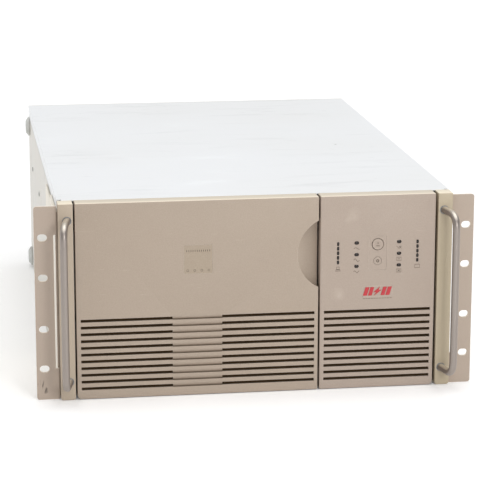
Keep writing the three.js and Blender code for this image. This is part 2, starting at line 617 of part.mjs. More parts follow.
function serialPort() {
  const { x, z, width, height } = SERIAL;
  const dee = (w, h) => outline([[x - w / 2, z + h / 2], [x - w / 2 + 1.6, z - h / 2],
    [x + w / 2 - 1.6, z - h / 2], [x + w / 2, z + h / 2]].reverse());
  const flange = alongY(roundedRect(x - width / 2, x + width / 2, z - height / 2, z + height / 2, 1),
    REAR + GAP, REAR + 1.3, 3);
  const shell = alongY(dee(19, 9.4), REAR - 8, REAR + 6);
  return cut(join(flange, shell), alongY(dee(17.4, 7.8), REAR + 5, REAR + 7));
}

function batterySocket() {
  const { x, z, width, height } = BATTERY_SOCKET;
  const flange = alongY(roundedRect(x - width / 2, x + width / 2, z - height / 2, z + height / 2, 2),
    REAR + GAP, REAR + 2.6, 3);
  const body = box(x - 27, x + 27, REAR - 30, REAR + 5.5, z - 13, z + 13);
  const cells = [-13, 13].map((dx) =>
    box(x + dx - 10.5, x + dx + 10.5, REAR - 16, REAR + 7, z - 8, z + 8));
  const blades = [-13, 13].map((dx) =>
    box(x + dx - 7, x + dx + 7, REAR - 17, REAR + 2, z - 4.5, z + 4.5));
  return join(cut(join(flange, body), ...cells), ...blades);
}

function terminalCover() {
  const { x, z, width, height } = TERMINAL_COVER;
  const w = width / 2;
  const h = height / 2;
  const plate = alongY(roundedRect(x - w, x + w, z - h, z + h, 2), REAR + GAP, REAR + GAP + SHEET, 3);
  const raised = box(x - w + 12, x + w - 12, REAR + 1, REAR + 6, z - h + 10, z + h - 10);
  const glands = [-26, 26].map((dx) => discY(x + dx, z, 15, REAR + 4.6, REAR + 7, 24));
  return cut(join(plate, raised), ...glands);
}

// two push-to-reset breakers in one moulding, their bushes through the panel
function breakerBody() {
  const { xs, z, hole, bush, button: pin } = BREAKER;
  const block = box(xs[0] - 12, xs[1] + 12, REAR - 40, REAR - SHEET - GAP, z - 16, z + 16);
  const bushes = xs.map((x) => discY(x, z, bush, REAR - 3, REAR + 4, 20));
  const bores = xs.map((x) => discY(x, z, pin + GAP, REAR - 20, REAR + 5, 20));
  return cut(join(block, ...bushes), ...bores, box(xs[0] + hole + 5, xs[1] - hole - 5,
    REAR - 60, REAR - 30, z - 20, z + 20));
}

add('accessory_slot_cover', slotCover(), ZINC);
add('serial_port', serialPort(), ZINC);
add('battery_socket', batterySocket(), CONNECTOR_GREY);
add('input_terminal_cover', terminalCover(), ZINC);
add('input_breaker', breakerBody(), BLACK_PLASTIC);
BREAKER.xs.forEach((x, i) =>
  add(`breaker_reset_${'ab'[i]}`, discY(x, BREAKER.z, BREAKER.button, REAR - 15, REAR + 5.5, 20),
    BLACK_PLASTIC));

// ---------- side feet ----------
[['lower', FOOT.heights[0]], ['upper', FOOT.heights[1]]].forEach(([name, z]) => {
  const profile = [[0, 0], [FOOT.radius, 0], [FOOT.radius, 2.2], [FOOT.flat, FOOT.height],
    [0, FOOT.height]].map(([r, h]) => new THREE.Vector2(r, h));
  const foot = new THREE.LatheGeometry(profile, 28).rotateZ(Math.PI / 2)
    .translate(-HALF_WIDTH - GAP, FOOT.y, z);
  add(`side_foot_${name}`, foot, GREY_RUBBER);
});

// ---------- origin: middle of the underside of the box round the whole object ----------
const bounds = new THREE.Box3().setFromObject(model);
model.position.y = -(bounds.min.y + bounds.max.y) / 2;
model.position.x = -(bounds.min.x + bounds.max.x) / 2;

export default model;
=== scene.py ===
import math

import bmesh
import bpy
from mathutils import Matrix, Vector


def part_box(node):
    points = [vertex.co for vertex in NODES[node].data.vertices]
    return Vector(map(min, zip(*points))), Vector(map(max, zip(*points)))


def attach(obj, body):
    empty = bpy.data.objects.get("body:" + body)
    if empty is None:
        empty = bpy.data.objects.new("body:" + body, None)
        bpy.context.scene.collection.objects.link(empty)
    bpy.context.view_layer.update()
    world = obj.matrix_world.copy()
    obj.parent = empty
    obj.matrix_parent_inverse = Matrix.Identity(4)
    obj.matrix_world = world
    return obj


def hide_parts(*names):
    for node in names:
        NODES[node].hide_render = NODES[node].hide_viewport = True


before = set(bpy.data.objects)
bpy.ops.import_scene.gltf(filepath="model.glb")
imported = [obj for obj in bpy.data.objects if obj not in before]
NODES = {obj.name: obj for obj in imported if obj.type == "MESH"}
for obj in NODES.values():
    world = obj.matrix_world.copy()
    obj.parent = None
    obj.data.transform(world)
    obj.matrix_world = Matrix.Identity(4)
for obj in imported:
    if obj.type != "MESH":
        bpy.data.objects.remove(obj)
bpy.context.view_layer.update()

MM = 0.001
LEFT, RIGHT, BACK, UP = (-1, 0, 0), (1, 0, 0), (0, 1, 0), (0, 0, 1)
SCENE = bpy.context.scene


# ---------- where things are, from the CAD ----------
class Place:
    """A CAD node's box at rest, in metres."""

    def __init__(self, node):
        self.lo, self.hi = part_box(node)
        self.mid = (self.lo + self.hi) / 2
        self.size = self.hi - self.lo


EAR_FACE = Place("rack_ear_left").lo.y  # front faces of the rack ears
BEZEL_FACE = Place("left_bezel").lo.y  # front faces of the bezels and columns
BACK_FACE = Place("rear_panel").hi.y  # outside of the rear panel
LOUVRE_TOP = 93 * MM  # height of the upper edge of the louvred fields
TOP_SHEEN_HEIGHTS = (200 * MM, 210 * MM)  # heights over which the painted highlight on the top faces sets in
INK_FRONT, INK_BACK = BEZEL_FACE - 0.05 * MM, BEZEL_FACE + 0.02 * MM  # print on the bezels


# ---------- mesh helpers ----------
def srgb(red, green, blue):
    """A colour given as 0 to 255 in the usual screen scale, as linear RGBA."""
    shares = [c / 255 for c in (red, green, blue)]
    return (*(s / 12.92 if s <= 0.04045 else ((s + 0.055) / 1.055) ** 2.4 for s in shares), 1.0)


def facing_y(a, b, depth):
    """A point of an outline drawn on the front or back."""
    return Vector((a, depth, b))


def facing_z(a, b, depth):
    """A point of an outline drawn on a level face."""
    return Vector((a, b, depth))


def only(kind, geometry):
    return [part for part in geometry if isinstance(part, kind)]


def placed(points, x=0.0, z=0.0):
    """Points in millimetres about a place, in metres."""
    return [(x + a * MM, z + b * MM) for a, b in points]


def rounded(x0, x1, z0, z1, radius, steps=5):
    """Outline of a rectangle with rounded corners, anticlockwise."""
    points = []
    for cx, cz, start in ((x1 - radius, z0 + radius, -90), (x1 - radius, z1 - radius, 0),
                          (x0 + radius, z1 - radius, 90), (x0 + radius, z0 + radius, 180)):
        for i in range(steps + 1):
            angle = math.radians(start + 90 * i / steps)
            points.append((cx + radius * math.cos(angle), cz + radius * math.sin(angle)))
    return points


def turns(count):
    """Evenly spaced angles of one full turn."""
    return [2 * math.pi * i / count for i in range(count)]


def circle(x, z, radius, sides):
    return [(x + radius * math.cos(t), z + radius * math.sin(t)) for t in turns(sides)]


def skin(bm, low, high):
    """Faces between two rings of the same count."""
    for i in range(len(low)):
        j = (i + 1) % len(low)
        bm.faces.new((low[i], low[j], high[j], high[i]))


def prism(bm, outer, holes, near, far, facing):
    """A plate: an outline with holes in it, run from one depth to the other."""
    loops = []
    for points in (outer, *holes):
        verts = [bm.verts.new(facing(a, b, near)) for a, b in points]
        loops.append(verts)
    edges = [bm.edges.new((v[i], v[(i + 1) % len(v)])) for v in loops for i in range(len(v))]
    cap = bmesh.ops.triangle_fill(bm, edges=edges, use_beauty=True)["geom"]
    faces = only(bmesh.types.BMFace, cap)
    grown = bmesh.ops.extrude_face_region(bm, geom=faces, use_keep_orig=True)["geom"]
    shift = facing(0, 0, far) - facing(0, 0, near)
    bmesh.ops.translate(bm, vec=shift, verts=only(bmesh.types.BMVert, grown))


def lathe(bm, profile, centre, axis, sides):
    """Turns (radius, height) points round an axis through centre. Radius 0 closes an end."""
    axis = Vector(axis).normalized()
    across = axis.orthogonal().normalized()
    along = axis.cross(across)
    rings = []
    for radius, height in profile:
        base = Vector(centre) + axis * height
        if radius == 0:
            rings.append([bm.verts.new(base)])
            continue
        rings.append([bm.verts.new(base + radius * (math.cos(t) * across + math.sin(t) * along))
                      for t in turns(sides)])
    for low, high in zip(rings, rings[1:]):
        for i in range(sides):
            j = (i + 1) % sides
            corners = [low[i % len(low)], low[j % len(low)], high[j % len(high)],
                       high[i % len(high)]]
            unique = list(dict.fromkeys(corners))
            if len(unique) > 2:
                bm.faces.new(unique)
    return rings


def tube(bm, points, radius, closed, sides=10):
    """A round wire along points."""
    count = len(points)
    rings = []
    for i, point in enumerate(points):
        before = points[i - 1] if closed or i else point
        after = points[(i + 1) % count] if closed or i < count - 1 else point
        run = (after - before).normalized()
        across = run.cross(Vector((0, 1, 0)))
        if across.length < 1e-4:
            across = run.cross(Vector((1, 0, 0)))
        across.normalize()
        along = run.cross(across)
        rings.append([bm.verts.new(point + radius * (math.cos(t) * across + math.sin(t) * along))
                      for t in turns(sides)])
    pairs = list(zip(rings, rings[1:])) + ([(rings[-1], rings[0])] if closed else [])
    for low, high in pairs:
        skin(bm, low, high)
    if not closed:
        bm.faces.new(rings[0][::-1])
        bm.faces.new(rings[-1])


def ribbon(bm, points, width, near, far, closed=False):
    """A flat printed line in the front plane."""
    count = len(points)
    left, right = [], []
    for i, (x, z) in enumerate(points):
        x0, z0 = points[i - 1] if closed or i else (x, z)
        x1, z1 = points[(i + 1) % count] if closed or i < count - 1 else (x, z)
        length = math.hypot(x1 - x0, z1 - z0)
        nx, nz = -(z1 - z0) / length * width / 2, (x1 - x0) / length * width / 2
        left.append((x + nx, z + nz))
        right.append((x - nx, z - nz))
    for i in range(count if closed else count - 1):
        j = (i + 1) % count
        quad = [left[i], left[j], right[j], right[i]]
        front = [bm.verts.new(facing_y(a, b, near)) for a, b in quad]
        back = [bm.verts.new(facing_y(a, b, far)) for a, b in quad]
        bm.faces.new(front)
        bm.faces.new(back[::-1])
        skin(bm, back, front)


def add_object(name, data):
    made = bpy.data.objects.new(name, data)
    SCENE.collection.objects.link(made)
    return made


def make(name, bm, finish, body, sharp=32, bevel=None):
    """Turns a bmesh into a named piece with a finish, riding on a CAD body. Edges turning
    more than sharp degrees stay crisp."""
    bmesh.ops.recalc_face_normals(bm, faces=bm.faces)
    mesh = bpy.data.meshes.new(name)
    bm.to_mesh(mesh)
    bm.free()
    mesh.materials.append(finish)
    piece = add_object(name, mesh)
    mesh.shade_smooth()
    mesh.set_sharp_from_angle(angle=math.radians(sharp))
    if bevel:
        add_bevel(piece, bevel, 3)
    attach(piece, body)
    return piece


def add_weld(piece):
    """Joins the corners that imported faces share."""
    merge = piece.modifiers.new("merge", "WELD")
    merge.merge_threshold = 0.001 * MM


def add_creases(piece):
    """Smooth across shallow edges, crisp at the sharp ones."""
    add_weld(piece)
    split = piece.modifiers.new("creases", "EDGE_SPLIT")
    split.split_angle = math.radians(32)


def add_bevel(piece, width, segments):
    """Rounds the sharp edges and keeps the flats flat."""
    add_weld(piece)
    flats = piece.modifiers.new("flats", "DECIMATE")
    flats.decimate_type = "DISSOLVE"
    flats.angle_limit = math.radians(0.5)
    bevel = piece.modifiers.new("bevel", "BEVEL")
    bevel.width = width
    bevel.segments = segments
    bevel.limit_method = "ANGLE"
    bevel.angle_limit = math.radians(35)
    bevel.miter_outer = "MITER_ARC"
    bevel.use_clamp_overlap = True
    normals = piece.modifiers.new("normals", "WEIGHTED_NORMAL")
    normals.keep_sharp = True


# ---------- materials ----------
class Finish:
    """One procedural material: a Principled shader with nodes for its colour, gloss and bump."""

    def __init__(self, name, colour, roughness, metallic=0.0, **sockets):
        self.material = bpy.data.materials.new(name)
        self.material.use_nodes = True
        self.tree = self.material.node_tree
        self.shader = self.tree.nodes["Principled BSDF"]
        sockets |= {"Base_Color": colour, "Roughness": roughness, "Metallic": metallic}
        for socket, value in sockets.items():
            self.shader.inputs[socket.replace("_", " ")].default_value = value
        self.colour = colour
        self.normal = None

    def node(self, kind, **inputs):
        made = self.tree.nodes.new(kind)
        for socket, value in inputs.items():
            self.feed(made.inputs[socket.replace("_", " ")], value)
        return made

    def feed(self, socket, value):
        if isinstance(value, bpy.types.NodeSocket):
            self.tree.links.new(value, socket)
        else:
            socket.default_value = value

    def place(self, stretch=(1, 1, 1)):
        coords = self.node("ShaderNodeTexCoord").outputs["Object"]
        return self.node("ShaderNodeMapping", Vector=coords, Scale=stretch).outputs["Vector"]

    def noise(self, scale, detail=3.0, stretch=(1, 1, 1), rough=0.5, twist=0.0):
        return self.node("ShaderNodeTexNoise", Vector=self.place(stretch), Scale=scale,
                         Detail=detail, Roughness=rough, Distortion=twist).outputs["Fac"]

    def cells(self, scale, feature="F1", output="Distance"):
        made = self.node("ShaderNodeTexVoronoi", Vector=self.place(), Scale=scale)
        made.feature = feature
        return made.outputs[output]

    def bands(self, axis, scale, twist=0.0):
        made = self.node("ShaderNodeTexWave", Vector=self.place(), Scale=scale,
                         Distortion=twist)
        made.bands_direction = axis
        return made.outputs["Fac"]

    def limits(self, value, low, high, to_low=0.0, to_high=1.0):
        made = self.node("ShaderNodeMapRange", Value=value)
        for socket, number in zip(("From Min", "From Max", "To Min", "To Max"),
                                  (low, high, to_low, to_high)):
            made.inputs[socket].default_value = number
        return made.outputs["Result"]

    def combine(self, kind, operation, a, b):
        made = self.node(kind)
        made.operation = operation
        self.feed(made.inputs[0], a)
        self.feed(made.inputs[1], b)
        return made.outputs["Value"]

    def times(self, a, b):
        return self.combine("ShaderNodeMath", "MULTIPLY", a, b)

    def near(self, point, reach):
        """1 at a point of the object, falling to 0 at reach."""
        gap = self.combine("ShaderNodeVectorMath", "DISTANCE", self.place(), point)
        return self.limits(gap, reach, reach * 0.3)

    def along(self, axis, start, end):
        """0 at one place along an axis, growing to 1 at the other."""
        parts = self.node("ShaderNodeSeparateXYZ", Vector=self.place())
        return self.limits(parts.outputs[axis], start, end)

    def turned(self, direction):
        """1 on the faces turned towards a direction, 0 on those more than 63 degrees off."""
        normal = self.node("ShaderNodeNewGeometry").outputs["True Normal"]
        facing = self.combine("ShaderNodeVectorMath", "DOT_PRODUCT", normal, direction)
        return self.limits(facing, 0.45, 0.9)

    def tint(self, mask, colour, amount=None):
        """Lays another colour over what is there, by a mask, or by a share of it."""
        if amount:
            mask = self.times(mask, amount)
        made = self.node("ShaderNodeMix")
        made.data_type = "RGBA"
        self.feed(made.inputs[0], mask)
        self.feed(made.inputs[6], self.colour)
        self.feed(made.inputs[7], colour)
        self.colour = made.outputs[2]
        self.feed(self.shader.inputs["Base Color"], self.colour)

    def patch(self, pattern, low, high, amount, colour):
        """Lays another colour where a pattern is strong: none at low, the amount at high."""
        self.tint(self.limits(pattern, low, high), colour, amount)

    def gloss(self, value, smooth, dull):
        self.feed(self.shader.inputs["Roughness"], self.limits(value, 0.3, 0.7, smooth, dull))

    def bump(self, height, depth, strength):
        made = self.node("ShaderNodeBump", Height=height, Distance=depth, Strength=strength)
        if self.normal:
            self.feed(made.inputs["Normal"], self.normal)
        self.normal = made.outputs["Normal"]
        self.feed(self.shader.inputs["Normal"], self.normal)

    def worn_edges(self, colour, amount):
        """Rubbed edges, broken up so that they aren't an even line: where a small radius
        would turn the surface away from its flat."""
        edge = self.node("ShaderNodeBevel", Radius=0.7 * MM)
        edge.samples = 4
        normal = self.node("ShaderNodeNewGeometry").outputs["Normal"]
        turn = self.combine("ShaderNodeVectorMath", "DOT_PRODUCT", edge.outputs["Normal"], normal)
        rubbed = self.times(self.limits(turn, 0.99, 0.85),
                            self.limits(self.noise(45), 0.3, 0.65))
        self.tint(rubbed, colour, amount)


def plain(name, colour, roughness, spots, gloss=None, grain=None, metallic=0.0, edges=None,
          **sockets):
    """Spots of another tone, an uneven gloss and a fine grain. Spots: noise scale and detail,
    low and high limit, amount, colour. Gloss: scale, detail, smooth, dull. Grain: scale,
    detail, depth, strength. Edges: colour and amount."""
    f = Finish(name, colour, roughness, metallic, **sockets)
    scale, detail, *rest = spots
    f.patch(f.noise(scale, detail), *rest)
    if edges:
        f.worn_edges(*edges)
    if gloss:
        scale, detail, *rest = gloss
        f.gloss(f.noise(scale, detail), *rest)
    if grain:
        scale, detail, *rest = grain
        f.bump(f.noise(scale, detail), *rest)
    return f.material


def moulded_beige(name, colour, residue=()):
    """Moulded ABS of the bezels: fine spark texture, slight yellowing, handling marks, a painted
    highlight on the high top faces, painted shade deeper in the hollow and inside the vent
    slots, and faint marks where stickers have been."""
    f = Finish(name, colour, 0.5, Specular_IOR_Level=0.4)
    f.patch(f.noise(5, 3), 0.3, 0.75, 0.16, srgb(166, 147, 128))
    f.patch(f.noise(22, 5, twist=1.5), 0.6, 0.8, 0.10, srgb(140, 128, 118))
    f.patch(f.noise(900, 2), 0.3, 0.7, 0.10, srgb(225, 208, 190))
    f.patch(f.noise(60, 3, (1, 1, 9)), 0.68, 0.74, 0.10, srgb(222, 208, 194))
    for spot, reach in residue:
        mark = f.times(f.near(spot, reach), f.limits(f.noise(110, 2), 0.25, 0.7))
        f.tint(mark, srgb(206, 192, 180), 0.28)
    f.worn_edges(srgb(226, 212, 196), 0.5)
    # painted highlight: the top faces near the top of the bezel are lightened as if catching the
    # light
    top_sheen = f.times(f.turned(UP), f.along("Z", *TOP_SHEEN_HEIGHTS))
    f.tint(top_sheen, srgb(248, 238, 218), 0.8)
    # painted shade: surfaces lying further back behind the bezel's front face are darkened
    hollow = f.along("Y", BEZEL_FACE + 0.5 * MM, BEZEL_FACE + 5 * MM)
    f.tint(hollow, srgb(128, 114, 100), 0.25)
    # painted shade: the walls inside the vent slots are darkened below the top of the louvred
    # fields
    slot_shade = f.times(f.along("Y", BEZEL_FACE + 1.0 * MM, BEZEL_FACE + 2.6 * MM),
                   f.along("Z", LOUVRE_TOP + 3 * MM, LOUVRE_TOP - 1 * MM))
    f.tint(slot_shade, srgb(80, 64, 46), 0.75)
    f.gloss(f.noise(35, 3), 0.46, 0.6)
    f.bump(f.noise(2200, 2), 0.06 * MM, 0.5)
    return f.material


def powder_coat(name, colour, light, dark):
    """Powder-coated steel: a faint orange peel and a few small chips at the edges."""
    f = Finish(name, colour, 0.5, Specular_IOR_Level=0.45)
    f.patch(f.noise(9, 4), 0.35, 0.75, 0.15, dark)
    f.patch(f.noise(1200, 2), 0.35, 0.65, 0.10, light)
    f.patch(f.cells(160), 0.05, 0.02, 0.5, dark)
    f.worn_edges(light, 0.55)
    f.gloss(f.noise(28, 3), 0.4, 0.56)
    f.bump(f.noise(420, 3), 0.12 * MM, 0.35)
    return f


def ear_paint():
    f = powder_coat("ear_paint", srgb(174, 158, 144), srgb(212, 198, 180), srgb(154, 140, 124))
    low = Place("rack_ear_left").lo
    spot = (low.x + 7 * MM, EAR_FACE, low.z + 13 * MM)
    scratch = f.limits(f.noise(130, 4, (1, 1, 0.35), twist=3.0), 0.56, 0.62)
    f.tint(f.times(scratch, f.near(spot, 11 * MM)), srgb(84, 74, 66), 0.85)
    # painted highlight: faces turned left, right and up are lightened as if lit, brightening the
    # flange seen through the ear's notch and the top edges
    for direction in (LEFT, RIGHT, UP):
        f.tint(f.turned(direction), srgb(248, 242, 228), 0.8)
    return f.material


def column_paint(name, colour):
    f = powder_coat(name, colour, srgb(216, 204, 180), srgb(160, 146, 122))
    # painted highlight: the top faces are lightened as if lit from above
    f.tint(f.turned(UP), srgb(248, 238, 216), 0.8)
    return f.material


def sheet_paint(name, colour, lip_shadow_height=None):
    """White sheet metal with the rubs and fine scratches of years in and out of racks, and
    a painted shadow that darkens the last few millimetres below a given height."""
    f = Finish(name, colour, 0.42, Specular_IOR_Level=0.5)
    worn = f.limits(f.noise(5, 3), 0.42, 0.62)
    smears = f.limits(f.noise(9, 6, (1, 4.5, 2), rough=0.62, twist=0.6), 0.52, 0.70)
    f.tint(f.times(smears, worn), srgb(186, 188, 190), 0.3)
    scratches = f.limits(f.noise(26, 4, (1.6, 14, 3), rough=0.6, twist=0.4), 0.66, 0.71)
    f.tint(f.times(scratches, worn), srgb(150, 152, 154), 0.5)
    sparse = f.limits(f.cells(34, output="Color"), 0.80, 0.82)
    f.tint(f.times(f.limits(f.cells(34), 0.07, 0.035), sparse), srgb(96, 92, 88), 0.8)
    f.patch(f.noise(3, 2), 0.4, 0.7, 0.25, srgb(226, 225, 220))
    f.worn_edges(srgb(250, 248, 240), 0.4)
    if lip_shadow_height:
        # painted shadow: a grey band darkening towards the lower edge of the cover's lip
        f.tint(f.along("Z", lip_shadow_height, lip_shadow_height - 2 * MM), srgb(168, 168, 162), 0.6)
    f.gloss(smears, 0.38, 0.55)
    f.bump(f.noise(380, 3), 0.1 * MM, 0.3)
    f.bump(scratches, 0.04 * MM, 0.4)
    return f.material


def satin_metal():
    """Satin-polished handle bar, drawn along its length, with a painted highlight on its upward
    faces.
    """
    f = Finish("satin_metal", srgb(158, 149, 142), 0.38, 0.85)
    f.patch(f.noise(40, 4, (1, 1, 0.2)), 0.4, 0.7, 0.25, srgb(144, 136, 134))
    f.patch(f.noise(70, 5), 0.64, 0.72, 0.2, srgb(120, 112, 106))
    # painted highlight: faces turned up, such as the tops of the bends, are lightened as if lit
    f.tint(f.turned(UP), srgb(236, 228, 214), 0.8)
    f.gloss(f.noise(600, 3, (1, 1, 0.02)), 0.34, 0.48)
    f.bump(f.noise(1500, 2, (1, 1, 0.01)), 0.03 * MM, 0.4)
    return f.material


def zinc_plate():
    """Zinc-coated sheet with its pale crystals and dull rolling lines."""
    f = Finish("zinc_plate", srgb(186, 189, 190), 0.42, 0.9)
    f.tint(f.cells(95, output="Color"), srgb(150, 154, 158), 0.35)
    f.patch(f.noise(14, 5), 0.55, 0.7, 0.4, srgb(140, 140, 136))
    f.gloss(f.noise(260, 3, (1, 0.06, 1)), 0.32, 0.55)
    f.bump(f.noise(700, 2, (1, 0.05, 1)), 0.04 * MM, 0.4)
    return f.material


def smoked_lens():
    """Dark lenses over lamps that are off."""
    f = Finish("smoked_lens", srgb(24, 15, 10), 0.25, Specular_IOR_Level=0.35,
               Coat_Weight=0.15, Coat_Roughness=0.1)
    f.patch(f.noise(300, 3), 0.4, 0.7, 0.5, srgb(40, 26, 18))
    f.gloss(f.noise(500, 2), 0.2, 0.34)
    return f.material


def filter_foam_and_shade():
    """Open-cell filter foam behind the vents; its dark colour also stands in for the shade deep
    inside the bezel.
    """
    f = Finish("filter_foam_and_shade", srgb(64, 50, 34), 0.95, Specular_IOR_Level=0.1)
    f.tint(f.limits(f.cells(900), 0.25, 0.05), srgb(38, 29, 20))
    f.patch(f.noise(60, 4), 0.5, 0.75, 0.5, srgb(92, 76, 56))
    f.bump(f.cells(700), 0.6 * MM, 0.9)
    return f.material


def battery_plastic():
    f = Finish("battery_plastic", srgb(60, 62, 66), 0.55)
    f.patch(f.noise(12, 5), 0.45, 0.7, 0.4, srgb(84, 84, 86))
    f.patch(f.noise(30, 5, (1, 6, 1)), 0.64, 0.70, 0.4, srgb(120, 118, 114))
    f.worn_edges(srgb(118, 118, 118), 0.6)
    f.gloss(f.noise(50, 3), 0.46, 0.64)
    f.bump(f.noise(1300, 2), 0.08 * MM, 0.6)
    return f.material


def circuit_board():
    """Green solder mask with copper runs under it and tinned pads."""
    f = Finish("circuit_board", srgb(34, 84, 50), 0.35)
    runs = f.limits(f.cells(150, "DISTANCE_TO_EDGE"), 0.10, 0.05)
    f.tint(runs, srgb(58, 124, 70), 0.7)
    f.tint(f.limits(f.cells(420), 0.16, 0.12), srgb(190, 192, 188))
    f.gloss(f.noise(80, 3), 0.28, 0.5)
    f.bump(runs, 0.05 * MM, 0.6)
    return f.material


def laminated_steel():
    """The edges of the transformer's stacked sheets, varnished."""
    f = Finish("laminated_steel", srgb(78, 74, 72), 0.45, 0.6)
    sheets = f.bands("Y", 320, 0.3)
    f.tint(sheets, srgb(48, 42, 38), 0.6)
    f.patch(f.noise(40, 4), 0.55, 0.7, 0.5, srgb(110, 76, 48))
    f.bump(sheets, 0.1 * MM, 0.6)
    return f.material


def winding_tape():
    f = Finish("winding_tape", srgb(190, 140, 62), 0.4)
    wraps = f.bands("Z", 34, 1.2)
    f.tint(wraps, srgb(150, 98, 38), 0.5)
    f.patch(f.noise(80, 5), 0.5, 0.7, 0.35, srgb(120, 82, 40))
    f.bump(wraps, 0.3 * MM, 0.5)
    f.gloss(f.noise(60, 3), 0.3, 0.5)
    return f.material


def extruded_aluminium():
    f = Finish("extruded_aluminium", srgb(192, 194, 196), 0.38, 0.9)
    f.patch(f.noise(30, 4, (1, 0.05, 1)), 0.4, 0.7, 0.4, srgb(160, 162, 166))
    f.gloss(f.noise(400, 3, (1, 0.02, 1)), 0.3, 0.5)
    f.bump(f.noise(900, 2, (1, 0.01, 1)), 0.04 * MM, 0.5)
    return f.material


def capacitor_sleeve():
    f = Finish("capacitor_sleeve", srgb(34, 48, 82), 0.3, Coat_Weight=0.4, Coat_Roughness=0.15)
    f.patch(f.bands("Z", 14), 0.8, 0.84, 0.6, srgb(120, 132, 160))
    f.gloss(f.noise(90, 3), 0.24, 0.4)
    f.bump(f.noise(500, 3), 0.05 * MM, 0.4)
    return f.material


BEIGE = moulded_beige("moulded_beige", srgb(166, 151, 136))
BEIGE_RIGHT = moulded_beige("moulded_beige_right", srgb(167, 152, 140), (
    ((105 * MM, BEZEL_FACE, 197 * MM), 9 * MM), ((100 * MM, BEZEL_FACE, 191 * MM), 5 * MM),
    ((89 * MM, BEZEL_FACE, 108 * MM), 9 * MM)))
BEIGE_LABEL = moulded_beige("moulded_beige_label", srgb(161, 146, 128))
EAR = ear_paint()
COLUMN_LEFT = column_paint("column_paint_left", srgb(177, 162, 144))
COLUMN_RIGHT = column_paint("column_paint_right", srgb(179, 165, 141))
WHITE = sheet_paint("cover_paint", srgb(238, 240, 242), Place("top_cover").lo.z + 3 * MM)
WALL = sheet_paint("wall_paint", srgb(212, 208, 199))
SATIN = satin_metal()
ZINC = zinc_plate()
WIRE = plain("bright_wire", srgb(205, 206, 205), 0.25,
             (160, 4, 0.5, 0.7, 0.4, srgb(140, 138, 132)),
             (300, 3, 0.2, 0.4), (900, 2, 0.03 * MM, 0.4), 0.95)
LENS = smoked_lens()
INK = plain("printed_ink", srgb(90, 78, 66), 0.6, (800, 3, 0.5, 0.7, 0.35, srgb(140, 126, 112)),
            grain=(1500, 2, 0.02 * MM, 0.3))
RED = plain("red_enamel", srgb(184, 34, 44), 0.32, (90, 4, 0.4, 0.7, 0.3, srgb(160, 26, 36)),
            (300, 3, 0.26, 0.42), (900, 2, 0.03 * MM, 0.3), Coat_Weight=0.3, Coat_Roughness=0.2)
FOAM_AND_SHADE = filter_foam_and_shade()
BLACK = plain("black_moulding", srgb(34, 34, 35), 0.45, (30, 4, 0.5, 0.7, 0.4, srgb(58, 56, 54)),
              (60, 3, 0.38, 0.56), (1600, 2, 0.05 * MM, 0.5), edges=(srgb(92, 90, 88), 0.5))
GREY = plain("grey_moulding", srgb(122, 125, 129), 0.5,
             (40, 4, 0.45, 0.7, 0.35, srgb(98, 100, 104)),
             (60, 3, 0.42, 0.58), (1500, 2, 0.05 * MM, 0.5), edges=(srgb(168, 170, 172), 0.5))
BATTERY = battery_plastic()
BOARD = circuit_board()
CORE = laminated_steel()
TAPE = winding_tape()
ALUMINIUM = extruded_aluminium()
SLEEVE = capacitor_sleeve()
RUBBER = plain("pale_rubber", srgb(206, 207, 203), 0.7,
               (70, 5, 0.45, 0.7, 0.5, srgb(176, 175, 168)),
               (120, 3, 0.6, 0.82), (1100, 3, 0.08 * MM, 0.6), Specular_IOR_Level=0.3)
SCREW = plain("screw_steel", srgb(178, 178, 174), 0.3,
              (500, 4, 0.5, 0.7, 0.5, srgb(120, 116, 106)),
              (700, 3, 0.22, 0.45), (1500, 2, 0.03 * MM, 0.5), 0.95)
BRASS = plain("brass", srgb(206, 172, 98), 0.3, (400, 4, 0.5, 0.7, 0.5, srgb(150, 112, 58)),
              (600, 3, 0.22, 0.45), metallic=0.95)


# ---------- CAD nodes that stay: finish and rounded edges ----------
OUTLETS = [f"outlet_{row}{i}" for row in "ab" for i in (1, 2, 3)]
OUTLETS += ["outlet_large_1", "outlet_large_2"]
# finish, nodes, and for rounded edges the width in millimetres and the number of segments
DRESSING = (
    (WALL, "base_tray rear_panel"),
    (WHITE, "top_cover", 0.35, 2),
    (BEIGE, "left_bezel"),
    (BEIGE_RIGHT, "right_bezel"),
    (EAR, "rack_ear_left rack_ear_right"),
    (COLUMN_LEFT, "handle_column_left"),
    (COLUMN_RIGHT, "handle_column_right"),
    (BEIGE_LABEL, "label_plate", 0.15, 2),
    (BEIGE_RIGHT, "button_plate", 0.3, 3),
    (ZINC, "front_frame bay_divider battery_tray input_terminal_cover"),
    (ZINC, "pack_retainer accessory_slot_cover serial_port", 0.25, 2),
    (LENS, "load_lens_strip status_lens_strip warning_lens_strip charge_lens_strip", 0.15, 2),
    (BOARD, "display_board inverter_board control_board", 0.15, 2),
    (BATTERY, "battery_pack_left battery_pack_right", 0.8, 3),
    (GREY, "battery_connector_left battery_connector_right", 0.5, 3),
    (GREY, "battery_socket"),
    (CORE, "transformer_core", 0.5, 2),
    (TAPE, "transformer_winding", 1.2, 3),
    (ALUMINIUM, "heatsink_left heatsink_right", 0.3, 2),
    (SLEEVE, "capacitor_front capacitor_rear", 0.4, 2),
    (BLACK, " ".join(("fan_frame_lower fan_frame_upper input_breaker", *OUTLETS))),
    (BLACK, "breaker_reset_a breaker_reset_b", 0.5, 3),
)


def dress(node, finish, width=0.0, segments=0):
    """Gives a CAD node its finish, and rounded edges where there is a width."""
    node.data.materials.clear()
    node.data.materials.append(finish)
    if "custom_normal" in node.data.attributes:
        node.data.attributes.remove(node.data.attributes["custom_normal"])
    node.data.shade_smooth()
    if width:
        add_bevel(node, width * MM, segments)
    else:
        add_creases(node)


for finish, names, *rounding in DRESSING:
    for name in names.split():
        dress(NODES[name], finish, *rounding)


